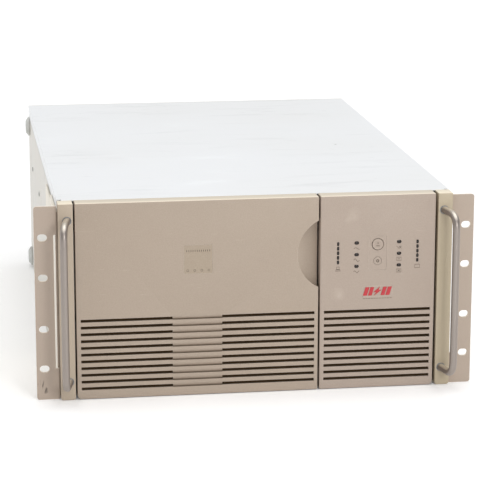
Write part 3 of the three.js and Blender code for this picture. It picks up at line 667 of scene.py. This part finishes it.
# ---------- handles ----------
HANDLE_RADIUS = 4 * MM
HANDLE_BEND = 16 * MM
COLLAR_PROFILE = ((4.1, 0.2), (4.1, -0.3), (4.5, -0.35), (4.8, -0.2), (4.9, 0.0), (4.1, 0.2))


def handle_path(at, sign):
    """From the top leg's tail to the bottom leg's: each has its tail, the start of its bend,
    the corner and the end of the bend. The legs lean outwards."""
    inner, outer = sorted((at.lo.x, at.hi.x), key=abs)
    tail_x, bar_x = inner + sign * HANDLE_RADIUS, outer - sign * HANDLE_RADIUS
    tail_y, bar_y = at.hi.y, at.lo.y + HANDLE_RADIUS
    lean = (bar_x - tail_x) / (bar_y - tail_y)

    def leg(y, z, rise=0.0):
        return Vector((tail_x + (y - tail_y) * lean, y, z + rise))

    def half(z, rise):
        return [leg(tail_y, z), leg(bar_y + HANDLE_BEND, z), leg(bar_y, z), leg(bar_y, z, rise)]

    return (half(at.hi.z - HANDLE_RADIUS, -HANDLE_BEND)
            + half(at.lo.z + HANDLE_RADIUS, HANDLE_BEND)[::-1])


def bent_bar(name, path):
    """A round bar: straight runs joined by two bends."""
    curve = bpy.data.curves.new(name, "CURVE")
    curve.dimensions = "3D"
    curve.bevel_depth = HANDLE_RADIUS
    curve.bevel_resolution = 8
    curve.resolution_u = 16
    curve.use_fill_caps = True
    curve.materials.append(SATIN)
    spline = curve.splines.new("BEZIER")
    spline.bezier_points.add(5)
    tail, start, corner, end, end2, corner2, start2, tail2 = path
    run, bend = 1 / 3, 2 / 3  # how far the curve's handles reach along a run and into a bend
    stops = ((tail, tail, tail),
             (start, start.lerp(tail, run), start.lerp(corner, bend)),
             (end, end.lerp(corner, bend), end.lerp(end2, run)),
             (end2, end2.lerp(end, run), end2.lerp(corner2, bend)),
             (start2, start2.lerp(corner2, bend), start2.lerp(tail2, run)),
             (tail2, tail2, tail2))
    for point, stop in zip(spline.bezier_points, stops):
        point.co, point.handle_left, point.handle_right = stop
    return add_object(name, curve)


def handle(side, sign):
    """A bent bar, and a collar round each leg where it enters its column."""
    at = Place(f"handle_{side}")
    path = handle_path(at, sign)
    bar = bent_bar(f"handle_bar_{side}", path)
    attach(bar, "chassis")
    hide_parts(f"handle_{side}")
    collars = bmesh.new()
    for tail, start in ((path[0], path[1]), (path[-1], path[-2])):
        entry = tail.lerp(start, (BEZEL_FACE - tail.y) / (start.y - tail.y))
        lathe(collars, placed(COLLAR_PROFILE), entry, BACK, 28)
    make(f"handle_collars_{side}", collars, GREY, "chassis")


handle("left", -1)
handle("right", 1)


# ---------- lenses, symbols, buttons and badge ----------
TALL_LENS = {"width": 2.7 * MM, "height": 4.5 * MM, "count": 5, "pitch": 5.15 * MM}
WIDE_LENS = {"width": 5.2 * MM, "height": 3.8 * MM, "count": 3, "pitch": 13.1 * MM}
STRIP_MARGIN = 1.5 * MM  # the strip's bar reaches this far past its end lenses
DOME = ((1, -0.35), (1, 0.1), (0.93, 0.35), (0.75, 0.55), (0.4, 0.68))  # share of width, rise
SIGN_LINE = 0.52 * MM


def lens_domes(kind, lens):
    """Glossy domes that fill the holes of one column."""
    strip = Place(f"{kind}_lens_strip")
    top = strip.hi.z - STRIP_MARGIN - lens["height"] / 2
    bm = bmesh.new()
    for i in range(lens["count"]):
        z = top - i * lens["pitch"]
        rings = []
        for share, rise in DOME:
            w, h = lens["width"] * share / 2, lens["height"] * share / 2
            outline = rounded(strip.mid.x - w, strip.mid.x + w, z - h, z + h, min(w, h) * 0.98)
            rings.append([bm.verts.new((x, BEZEL_FACE - rise * MM, v)) for x, v in outline])
        for low, high in zip(rings, rings[1:]):
            skin(bm, low, high)
        bm.faces.new(rings[-1])
        bm.faces.new(rings[0][::-1])
    make(f"{kind}_lenses", bm, LENS, "control_bezel", sharp=60)


def box(width, height):
    """Outline of a rectangle about its middle, from half its sizes."""
    return [(-width, -height), (width, -height), (width, height), (-width, height)]


def wave(width, height, periods, steps=16):
    return [(width * (i / steps - 0.5), height * math.sin(2 * math.pi * periods * i / steps))
            for i in range(steps + 1)]


def symbols():
    """Small generic signs printed by the lenses: a plug, waves, cells and a battery."""
    load, status, warning, charge = (Place(f"{kind}_lens_strip")
                                     for kind in ("load", "status", "warning", "charge"))
    base = load.lo.z + STRIP_MARGIN
    top = status.hi.z - STRIP_MARGIN - WIDE_LENS["height"] / 2
    first, second, third = (top - i * WIDE_LENS["pitch"] - 6.3 * MM for i in range(3))
    signs = ((load, base - 4.2 * MM, box(1.5, 1.2), True),
             (load, base - 6.6 * MM, [(-2.9, -0.8), (-2.2, 0.6), (2.2, 0.6), (2.9, -0.8)], True),
             (charge, base - 4.8 * MM, box(2.8, 1.9), True),
             (charge, base - 2.6 * MM, [(-1.6, 0), (-0.8, 0)], False),
             (charge, base - 2.6 * MM, [(0.8, 0), (1.6, 0)], False),
             (status, first, wave(6.4, 0.9, 0.75), False),
             (status, second, wave(6.4, 1.6, 1.0), False),
             (status, third, wave(6.4, 1.2, 1.25), False),
             (warning, first, [(-2.8, 1.4), (-1.0, -0.4), (0.6, 1.2), (2.6, -1.4)], False),
             (warning, first, [(-0.6, -1.7), (0.8, -0.6), (2.6, 1.5)], False),
             (warning, second, box(2.6, 1.8), True),
             (warning, second, [(-1.1, 0), (1.1, 0)], False),
             (warning, third, box(2.6, 1.8), True),
             (warning, third, [(-1.2, -0.9), (1.2, 0.9)], False),
             (warning, third, [(-1.2, 0.9), (1.2, -0.9)], False))
    bm = bmesh.new()
    for strip, z, points, closed in signs:
        ribbon(bm, placed(points, strip.mid.x, z), SIGN_LINE, INK_FRONT, INK_BACK, closed)
    make("panel_symbols", bm, INK, "control_bezel")


def push_button(node, step, dish, symbol, line):
    """A cap with a rounded rim and dished face, its collar and stem, and a printed sign."""
    at = Place(node)
    collar_front, collar_back = BEZEL_FACE + 5.1 * MM, BEZEL_FACE + 6.3 * MM
    collar, radius = at.size.x / 2, at.size.x / 2 - step
    front = at.lo.y
    heights = [(0.0, at.hi.y), (2 * MM, at.hi.y), (2 * MM, collar_back),
               (collar, collar_back), (collar, collar_front),
               (radius, collar_front), (radius, front + 0.6 * MM),
               (radius - 0.1 * MM, front + 0.25 * MM), (radius - 0.35 * MM, front + 0.05 * MM),
               (radius - 0.8 * MM, front), (radius * 0.6, front + dish * 0.7),
               (radius * 0.3, front + dish), (0.0, front + dish * 1.1)]
    bm = bmesh.new()
    lathe(bm, [(r, y - front) for r, y in heights], (at.mid.x, front, at.mid.z), BACK, 48)
    cap = make(f"{node}_cap", bm, BEIGE_RIGHT, node)
    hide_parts(node)
    sign = bmesh.new()
    for points, closed in symbol:
        ribbon(sign, placed(points, at.mid.x, at.mid.z), line, front - 0.04 * MM,
               front + dish + 0.1 * MM, closed)
    make(f"{node}_sign", sign, INK, node)


def badge_plate(at):
    """Fills the badge's recess, with a thin lip that covers the joint."""
    bm = bmesh.new()
    lip, radius = 0.5 * MM, 1.8 * MM
    x0, x1, z0, z1 = at.lo.x, at.hi.x, at.lo.z, at.hi.z
    prism(bm, rounded(x0, x1, z0, z1, radius), [], BEZEL_FACE, at.hi.y, facing_y)
    prism(bm, rounded(x0 - lip, x1 + lip, z0 - lip, z1 + lip, radius + lip), [],
          BEZEL_FACE - 0.04 * MM, BEZEL_FACE - 0.01 * MM, facing_y)
    plate = make("front_badge_plate", bm, BEIGE_RIGHT, "control_bezel")
    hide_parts("front_emblem")


def badge_marks(at):
    """A red bolt between slanted red blocks."""
    slant, tall = 0.3, 4.7
    shapes = [[(1.4, 5.2), (-4.4, -1.2), (-0.9, -1.2), (-2.6, -5.2), (4.4, 1.4), (0.9, 1.4)]]
    for inner, outer in ((5.0, 9.2), (10.4, 14.8)):
        for left, right in ((-outer, -inner), (inner, outer)):
            shapes.append([(left, -tall), (right, -tall), (right, tall), (left, tall)])
    bm = bmesh.new()
    for shape in shapes:
        outline = placed([(a + slant * b, b) for a, b in shape], at.mid.x, at.mid.z)
        prism(bm, outline, [], at.lo.y, BEZEL_FACE + 0.05 * MM, facing_y)
    make("front_badge_marks", bm, RED, "control_bezel", bevel=0.12 * MM)


def badge_hairline(at):
    """A row of printed dashes under the badge."""
    bm = bmesh.new()
    dashes, half = 11, 1.1 * MM
    z = at.lo.z - 2.6 * MM
    for i in range(dashes):
        x = at.lo.x + (i + 0.5) * at.size.x / dashes
        ribbon(bm, [(x - half, z), (x + half, z)], 0.6 * MM, INK_FRONT, INK_BACK)
    make("front_badge_hairline", bm, INK, "control_bezel")


def label_marks():
    """A row of short strokes over four small squares, printed on the label plate."""
    at = Place("label_plate")
    near, far = at.lo.y - 0.05 * MM, at.lo.y + 0.02 * MM
    bm = bmesh.new()
    strokes, squares = 12, 4
    tall, half = 1.1 * MM, 0.95 * MM
    z = at.hi.z - 0.2 * at.size.z
    for i in range(strokes):
        x = at.mid.x + ((i + 0.5) / strokes - 0.5) * 0.88 * at.size.x
        ribbon(bm, [(x, z - tall), (x, z + tall)], 0.7 * MM, near, far)
    z = at.lo.z + 0.11 * at.size.z
    for i in range(squares):
        x = at.mid.x + (i - (squares - 1) / 2) * at.size.x / squares
        ribbon(bm, [(x - half, z - half), (x + half, z - half), (x + half, z + half),
                    (x - half, z + half)], 0.5 * MM, near, far, True)
    make("label_marks", bm, INK, "battery_bezel")


for kind, lens in (("load", TALL_LENS), ("status", WIDE_LENS), ("warning", WIDE_LENS),
                   ("charge", TALL_LENS)):
    lens_domes(kind, lens)
symbols()
push_button("test_button", 1.6 * MM, 0.25 * MM,
            [([(0, 2.6), (0, 0.4)], False), ([(-1.9, -1.6), (1.9, -1.6)], False)], 0.6 * MM)
push_button("off_button", 1.2 * MM, 0.1 * MM, [(circle(0, 0, 1.3, 20), True)], 0.9 * MM)
emblem = Place("front_emblem")
badge_plate(emblem)
badge_marks(emblem)
badge_hairline(emblem)
label_marks()


# ---------- dust filters behind the vents ----------
def vent_filter(name, bezel, body):
    """A foam pad with an uneven face, inside the bezel's hollow behind its slots; its dark colour
    also stands in for the shade deep in the slots.
    """
    at = Place(bezel)
    inset, columns, rows = 3.4 * MM, 90, 32
    x0, x1 = at.lo.x + inset, at.hi.x - inset
    z0, z1 = at.lo.z + 3.6 * MM, at.lo.z + 93 * MM
    front, back = BEZEL_FACE + 3.8 * MM, BEZEL_FACE + 7 * MM
    bm = bmesh.new()
    grid = []
    for i in range(columns + 1):
        x = x0 + (x1 - x0) * i / columns
        line = []
        for j in range(rows + 1):
            z = z0 + (z1 - z0) * j / rows
            sag = 0.25 * MM * math.sin(i * 1.7 + j * 0.9) * math.sin(j * 1.3 - i * 0.4)
            line.append(bm.verts.new((x, front + sag, z)))
        grid.append(line)
    for i in range(columns):
        for j in range(rows):
            bm.faces.new((grid[i][j], grid[i + 1][j], grid[i + 1][j + 1], grid[i][j + 1]))
    rim = bmesh.ops.extrude_edge_only(bm, edges=[e for e in bm.edges if e.is_boundary])["geom"]
    moved = only(bmesh.types.BMVert, rim)
    for v in moved:
        v.co.y = back
    bmesh.ops.contextual_create(bm, geom=[e for e in only(bmesh.types.BMEdge, rim)
                                          if all(v in moved for v in e.verts)])
    make(name, bm, FOAM_AND_SHADE, body, sharp=50)


vent_filter("vent_filter_left", "left_bezel", "battery_bezel")
vent_filter("vent_filter_right", "right_bezel", "control_bezel")


# ---------- screws ----------
def screw_head(bm, centre, axis, radius, height):
    """A pan head with a cross recess."""
    axis = Vector(axis)
    profile = [(radius, -0.1 * MM), (radius, 0.35 * height), (radius * 0.92, 0.75 * height),
               (radius * 0.72, height)]
    rings = lathe(bm, profile, centre, axis, 24)
    rim = rings[-1]
    across = (rim[0].co - (Vector(centre) + axis * height)).normalized()
    along = axis.cross(across)
    arm, half = radius * 0.52, radius * 0.12
    cross = [(arm, -half), (arm, half), (half, half), (half, arm), (-half, arm), (-half, half),
             (-arm, half), (-arm, -half), (-half, -half), (-half, -arm), (half, -arm),
             (half, -half)]
    top = [bm.verts.new(Vector(centre) + axis * height + a * across + b * along)
           for a, b in cross]
    low = [bm.verts.new(v.co - axis * height * 0.8) for v in top]
    edges = [bm.edges.get((rim[i], rim[(i + 1) % len(rim)])) for i in range(len(rim))]
    edges += [bm.edges.new((top[i], top[(i + 1) % len(top)])) for i in range(len(top))]
    bmesh.ops.triangle_fill(bm, edges=edges, use_beauty=True)
    skin(bm, top, low)
    bm.faces.new(low)
    bm.faces.new(rings[0][::-1])


def screws(name, centres, axis, radius, height=1.6 * MM):
    bm = bmesh.new()
    for centre in centres:
        screw_head(bm, centre, axis, radius, height)
    make(name, bm, SCREW, "chassis", sharp=28)


def corners(at, inset):
    return [(x, z) for x in (at.lo.x + inset, at.hi.x - inset)
            for z in (at.lo.z + inset, at.hi.z - inset)]


def ear_screws():
    """Six screws through each ear's flange into the chassis wall."""
    flange_face = 218.1 * MM  # from the middle plane
    for side, sign in (("left", -1), ("right", 1)):
        centres = [(sign * flange_face, EAR_FACE + y * MM, z * MM)
                   for y in (62, 132) for z in (40, 112, 180)]
        screws(f"ear_screws_{side}", centres, (sign, 0, 0), 4.2 * MM, 2 * MM)


def wall_screws():
    """Two screws high on each side wall."""
    walls, height = Place("base_tray"), 149 * MM
    for side, face, sign in (("left", walls.lo.x, -1), ("right", walls.hi.x, 1)):
        centres = [(face, EAR_FACE + y * MM, height) for y in (377, 537)]
        screws(f"wall_screws_{side}", centres, (sign, 0, 0), 3 * MM, 1.2 * MM)


def rear_screws():
    """Along the rim of the rear panel, and on its two cover plates."""
    panel, inset = Place("rear_panel"), 8 * MM
    rim = corners(panel, inset)
    rim += [(x * MM, panel.hi.z - inset) for x in (-70, 50)]
    rim += [(x * MM, panel.lo.z + inset) for x in (-50, 92)]
    screws("rear_panel_screws", [(x, BACK_FACE, z) for x, z in rim], BACK, 2.8 * MM, 1.4 * MM)
    slot, inset = Place("accessory_slot_cover"), 5 * MM
    held = corners(Place("input_terminal_cover"), inset)
    held += [(x, slot.mid.z) for x in (slot.lo.x + inset, slot.hi.x - inset)]
    screws("rear_cover_screws", [(x, BACK_FACE + 1.8 * MM, z) for x, z in held], BACK, 3 * MM)


ear_screws()
wall_screws()
rear_screws()


# ---------- feet on the side ----------
FOOT_RECESS = 0.6  # the floor of the hole for its screw, as a share of the height
FOOT_PROFILE = ((0, 0), (1, 0), (1, 0.3), (0.97, 0.4), (0.72, 0.85), (0.66, 0.97), (0.6, 1),
                (0.36, 1), (0.32, 0.94), (0.30, FOOT_RECESS), (0, FOOT_RECESS))


def side_foot(node):
    """A turned rubber foot with a soft rim and a screw down its middle."""
    at = Place(node)
    radius, tall = at.size.y / 2, at.size.x
    bm = bmesh.new()
    lathe(bm, [(radius * r, tall * h) for r, h in FOOT_PROFILE],
          (at.hi.x, at.mid.y, at.mid.z), LEFT, 40)
    foot = make(f"{node}_moulded", bm, RUBBER, "chassis")
    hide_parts(node)
    screws(f"{node}_screw", [(at.hi.x - FOOT_RECESS * tall, at.mid.y, at.mid.z)], LEFT,
           radius * 0.24, 1.2 * MM)


side_foot("side_foot_lower")
side_foot("side_foot_upper")


# ---------- fans ----------
BLADES = 7
HUB, BLADE_REACH = 18 * MM, 41.3 * MM


def blade_skin(bm, at, blade, skin_offset, along, across):
    """One side of a blade: rows of points from the hub outwards. It widens and is swept."""
    root = HUB * 0.97
    grid = []
    for i in range(along + 1):
        out = i / along
        radius = root + (BLADE_REACH - root) * out
        wide, sweep = math.radians(34 + 6 * out), math.radians(14) * out ** 2
        row = []
        for j in range(across + 1):
            share = j / across
            angle = 2 * math.pi * blade / BLADES + wide * (share - 0.5) + sweep
            bow = 1.6 * MM * math.sin(math.pi * share)
            y = at.lo.y + 2 * MM + (at.size.y - 4.4 * MM) * share + bow + skin_offset
            row.append(bm.verts.new((at.mid.x + radius * math.sin(angle), y,
                                     at.mid.z + radius * math.cos(angle))))
        grid.append(row)
    return grid


def fan_blade(bm, at, blade, along=8, across=6):
    low, high = (blade_skin(bm, at, blade, side * 0.55 * MM, along, across) for side in (-1, 1))
    for i in range(along):
        for j in range(across):
            bm.faces.new((low[i][j], low[i][j + 1], low[i + 1][j + 1], low[i + 1][j]))
            bm.faces.new((high[i][j], high[i + 1][j], high[i + 1][j + 1], high[i][j + 1]))
    for i in range(along):
        for j, flip in ((0, 1), (across, -1)):
            bm.faces.new([low[i][j], low[i + 1][j], high[i + 1][j], high[i][j]][::flip])
    for j in range(across):
        for i, flip in ((0, -1), (along, 1)):
            bm.faces.new([low[i][j], low[i][j + 1], high[i][j + 1], high[i][j]][::flip])


def fan_impeller(which):
    """A hub cap and seven twisted blades."""
    node = f"fan_rotor_{which}"
    at = Place(node)
    deep = at.size.y
    bm = bmesh.new()
    lathe(bm, [(0, 0), (HUB * 0.9, 0), (HUB, 1 * MM), (HUB, deep - 2 * MM),
               (HUB * 0.94, deep - 0.6 * MM), (HUB * 0.8, deep), (HUB * 0.4, deep),
               (HUB * 0.36, deep - 0.4 * MM), (0, deep - 0.4 * MM)],
          (at.mid.x, at.lo.y, at.mid.z), BACK, 48)
    for blade in range(BLADES):
        fan_blade(bm, at, blade)
    rotor = make(f"fan_impeller_{which}", bm, BLACK, node)
    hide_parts(node)


def fan_grille(which):
    """Round-wire guard: four rings welded to two crossing wires, with eyes for its screws."""
    node = f"fan_guard_{which}"
    at = Place(node)
    wire = 0.95 * MM
    ring_y, spoke_y = at.hi.y - wire, at.lo.y + wire
    bm = bmesh.new()

    def loop(x, z, radius, y, steps):
        tube(bm, [facing_y(a, b, y) for a, b in circle(x, z, radius, steps)], wire, True)

    for radius in (14, 23, 32, 41):
        loop(at.mid.x, at.mid.z, radius * MM, ring_y, 56)
    eye = 2.9 * MM
    reach = 47 * MM - eye
    eyes = []
    for turn in (45, 135, 225, 315):
        c, s = math.cos(math.radians(turn)), math.sin(math.radians(turn))
        tube(bm, [Vector((at.mid.x + r * c, spoke_y, at.mid.z + r * s))
                  for r in (0.0, 20 * MM, reach - eye)], wire, False)
        eyes.append((at.mid.x + reach * c, at.mid.z + reach * s))
        loop(*eyes[-1], eye, spoke_y, 20)
    guard = make(f"fan_grille_{which}", bm, WIRE, "chassis")
    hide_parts(node)
    screws(f"fan_screws_{which}", [(x, BACK_FACE + 0.2 * MM, z) for x, z in eyes], BACK,
           2.4 * MM, 2.2 * MM)


for which in ("lower", "upper"):
    fan_impeller(which)
    fan_grille(which)


# ---------- rear fittings ----------
def breaker_nuts():
    """Knurled ring nuts on the two reset breakers."""
    bm = bmesh.new()
    for node in ("breaker_reset_a", "breaker_reset_b"):
        at = Place(node)
        teeth = [((9.4 if i % 2 else 9.9) * math.cos(t), (9.4 if i % 2 else 9.9) * math.sin(t))
                 for i, t in enumerate(turns(48))]
        bore = circle(at.mid.x, at.mid.z, 7.05 * MM, 32)[::-1]
        prism(bm, placed(teeth, at.mid.x, at.mid.z), [bore], BACK_FACE + 0.1 * MM,
              BACK_FACE + 2.6 * MM, facing_y)
    make("breaker_nuts", bm, BLACK, "chassis", bevel=0.2 * MM)


def serial_pins():
    """Nine contacts and two hex posts of the signal port."""
    at = Place("serial_port")
    pitch, floor = 2.77 * MM, BACK_FACE + 4.9 * MM
    profile = placed([(0, 0), (0.5, 0), (0.5, 0.7), (0.25, 0.85), (0, 0.85)])
    bm = bmesh.new()
    for row, count in ((1.4 * MM, 5), (-1.4 * MM, 4)):
        for i in range(count):
            x = at.mid.x + (i - (count - 1) / 2) * pitch
            lathe(bm, profile, (x, floor, at.mid.z + row), BACK, 12)
    make("serial_pins", bm, BRASS, "chassis")
    posts = bmesh.new()
    for sign in (-1, 1):
        x = at.mid.x + sign * 12.5 * MM
        prism(posts, circle(x, at.mid.z, 2.6 * MM, 6), [circle(x, at.mid.z, 1.3 * MM, 16)[::-1]],
              BACK_FACE + 1.2 * MM, BACK_FACE + 6 * MM, facing_y)
    make("serial_posts", posts, SCREW, "chassis", bevel=0.15 * MM)


def knockouts():
    """Ring grooves and tabs of the two cable knockouts in the terminal cover."""
    at = Place("input_terminal_cover")
    bm = bmesh.new()
    for sign in (-1, 1):
        x = at.mid.x + sign * 26 * MM
        for outer, inner in ((14.4, 13.2), (10.6, 9.6)):
            rim, bore = (circle(x, at.mid.z, radius * MM, 48) for radius in (outer, inner))
            prism(bm, rim, [bore[::-1]], BACK_FACE + 4.3 * MM, BACK_FACE + 5.2 * MM, facing_y)
    make("terminal_knockouts", bm, ZINC, "chassis", bevel=0.15 * MM)


def ground_stud():
    """Earth stud with its nut and washer, beside the terminal cover."""
    at = Place("input_terminal_cover")
    x, z = at.hi.x + 12 * MM, at.lo.z + 10 * MM
    bm = bmesh.new()
    profile = placed([(0, 0), (5.5, 0), (5.5, 0.8), (2.4, 0.8), (2.4, 7), (1.9, 7.6), (0, 7.6)])
    lathe(bm, profile, (x, BACK_FACE, z), BACK, 28)
    prism(bm, circle(x, z, 4.4 * MM, 6), [circle(x, z, 2.45 * MM, 20)[::-1]],
          BACK_FACE + 0.85 * MM, BACK_FACE + 3.8 * MM, facing_y)
    make("ground_stud", bm, BRASS, "chassis", sharp=28)


def outlet_contacts():
    """Spring contacts down the slots of the sockets: upright in the small ones, flat in the
    large ones."""
    long, thin = 2.1 * MM, 0.35 * MM
    bm = bmesh.new()
    for name in OUTLETS:
        at = Place(name)
        a, b = (2.7 * MM, thin) if "large" in name else (thin, long)
        apart = at.size.x / 5.6
        for dx, dz in ((-apart, -1.6 * MM), (apart, -1.6 * MM), (0, 2.6 * MM)):
            x, z = at.mid.x + dx, at.mid.z + dz
            prism(bm, rounded(x - a, x + a, z - b, z + b, 0.2 * MM, 2), [],
                  BACK_FACE - 13 * MM, BACK_FACE - 5 * MM, facing_y)
    make("outlet_contacts", bm, BRASS, "chassis")


breaker_nuts()
serial_pins()
knockouts()
ground_stud()
outlet_contacts()


# ---------- battery packs ----------
def pack_terminals(side):
    """Two terminals on each of the four blocks of a pack, and the straps that link them."""
    at = Place(f"battery_pack_{side}")
    blocks, spread, half_width, overlap = 4, 38 * MM, 4 * MM, 5 * MM
    length, top = at.size.y / blocks, at.hi.z
    middles = [at.lo.y + (i + 0.5) * length for i in range(blocks)]
    profile = placed([(0, 0), (8, 0), (8, 1.4), (7, 2.2), (0, 2.2)])
    straps, caps = bmesh.new(), bmesh.new()
    for y in middles:
        for sign in (-1, 1):
            lathe(caps, profile, (at.mid.x + sign * spread, y, top - 0.1 * MM), UP, 28)
    for i, (near, far) in enumerate(zip(middles, middles[1:])):
        x = at.mid.x + (spread if i % 2 else -spread)
        outline = rounded(x - half_width, x + half_width, near - overlap, far + overlap, 3 * MM)
        prism(straps, outline, [], top + 2.1 * MM, top + 3.2 * MM, facing_z)
    make(f"pack_caps_{side}", caps, BLACK, "battery_drawer")
    make(f"pack_straps_{side}", straps, BRASS, "battery_drawer", bevel=0.3 * MM)


pack_terminals("left")
pack_terminals("right")


# ---------- floor, light and camera ----------
def aim(obj, target):
    obj.rotation_mode = "QUATERNION"
    obj.rotation_quaternion = (Vector(target) - obj.location).to_track_quat("-Z", "Y")


def add_light(name, kind, place, target, energy):
    data = bpy.data.lights.new(name, kind)
    data.energy = energy
    light = add_object(name, data)
    light.location = place
    aim(light, target)
    return data


def softbox(name, place, size, energy):
    light = add_light(name, "AREA", place, (0, -0.1, 0.12), energy)
    light.shape = "SQUARE"
    light.size = size


def paper_floor(reach=12.0):
    mesh = bpy.data.meshes.new("floor")
    mesh.from_pydata([(-reach, -reach, 0), (reach, -reach, 0), (reach, reach, 0),
                      (-reach, reach, 0)], [], [(0, 1, 2, 3)])
    floor = add_object("floor", mesh)
    paper = Finish("studio_paper", (0.97, 0.97, 0.97, 1), 0.9, Specular_IOR_Level=0.1,
                   Emission_Color=(1, 1, 1, 1), Emission_Strength=0.06)
    paper.tint(paper.noise(2, 2), (0.94, 0.94, 0.94, 1), 0.1)
    mesh.materials.append(paper.material)


def studio():
    """White paper under a wide, soft sky, with a small box in front and large ones beside
    and behind."""
    paper_floor()
    world = bpy.data.worlds.new("studio")
    world.use_nodes = True
    SCENE.world = world
    background = world.node_tree.nodes["Background"]
    background.inputs["Color"].default_value = (1, 1, 1, 1)
    background.inputs["Strength"].default_value = 0.40
    sky = add_light("overhead", "SUN", (0.3, -0.4, 3), (0, 0, 0), 2.0)
    sky.angle = math.radians(75)
    softbox("key", (0.4, -2.0, 0.70), 0.4, 9)
    softbox("side", (-2.2, 0.6, 0.4), 1.6, 6)
    softbox("backdrop", (0.3, 3.2, 1.2), 3.5, 7)


FOCAL_LENGTH, SENSOR_WIDTH = 151.3, 36
YAW, PITCH, ROLL = math.radians(8.631), math.radians(13.483), math.radians(0.127)
CAMERA_AT = Vector((-0.3408, EAR_FACE - 2.1945, 0.692))


def camera():
    """Above the front and a little to its left, looking down through a long lens."""
    data = bpy.data.cameras.new("camera")
    data.sensor_width = SENSOR_WIDTH
    data.lens = FOCAL_LENGTH
    ahead = Vector((math.sin(YAW) * math.cos(PITCH), math.cos(YAW) * math.cos(PITCH),
                    -math.sin(PITCH)))
    level = Vector((math.cos(YAW), -math.sin(YAW), 0))
    upward = level.cross(ahead)
    right = math.cos(ROLL) * level + math.sin(ROLL) * upward
    up = math.cos(ROLL) * upward - math.sin(ROLL) * level
    axes = Matrix((right, up, -ahead)).transposed()
    SCENE.camera = add_object("camera", data)
    SCENE.camera.matrix_world = Matrix.Translation(CAMERA_AT) @ axes.to_4x4()


studio()
camera()
SCENE.view_settings.view_transform = "Standard"
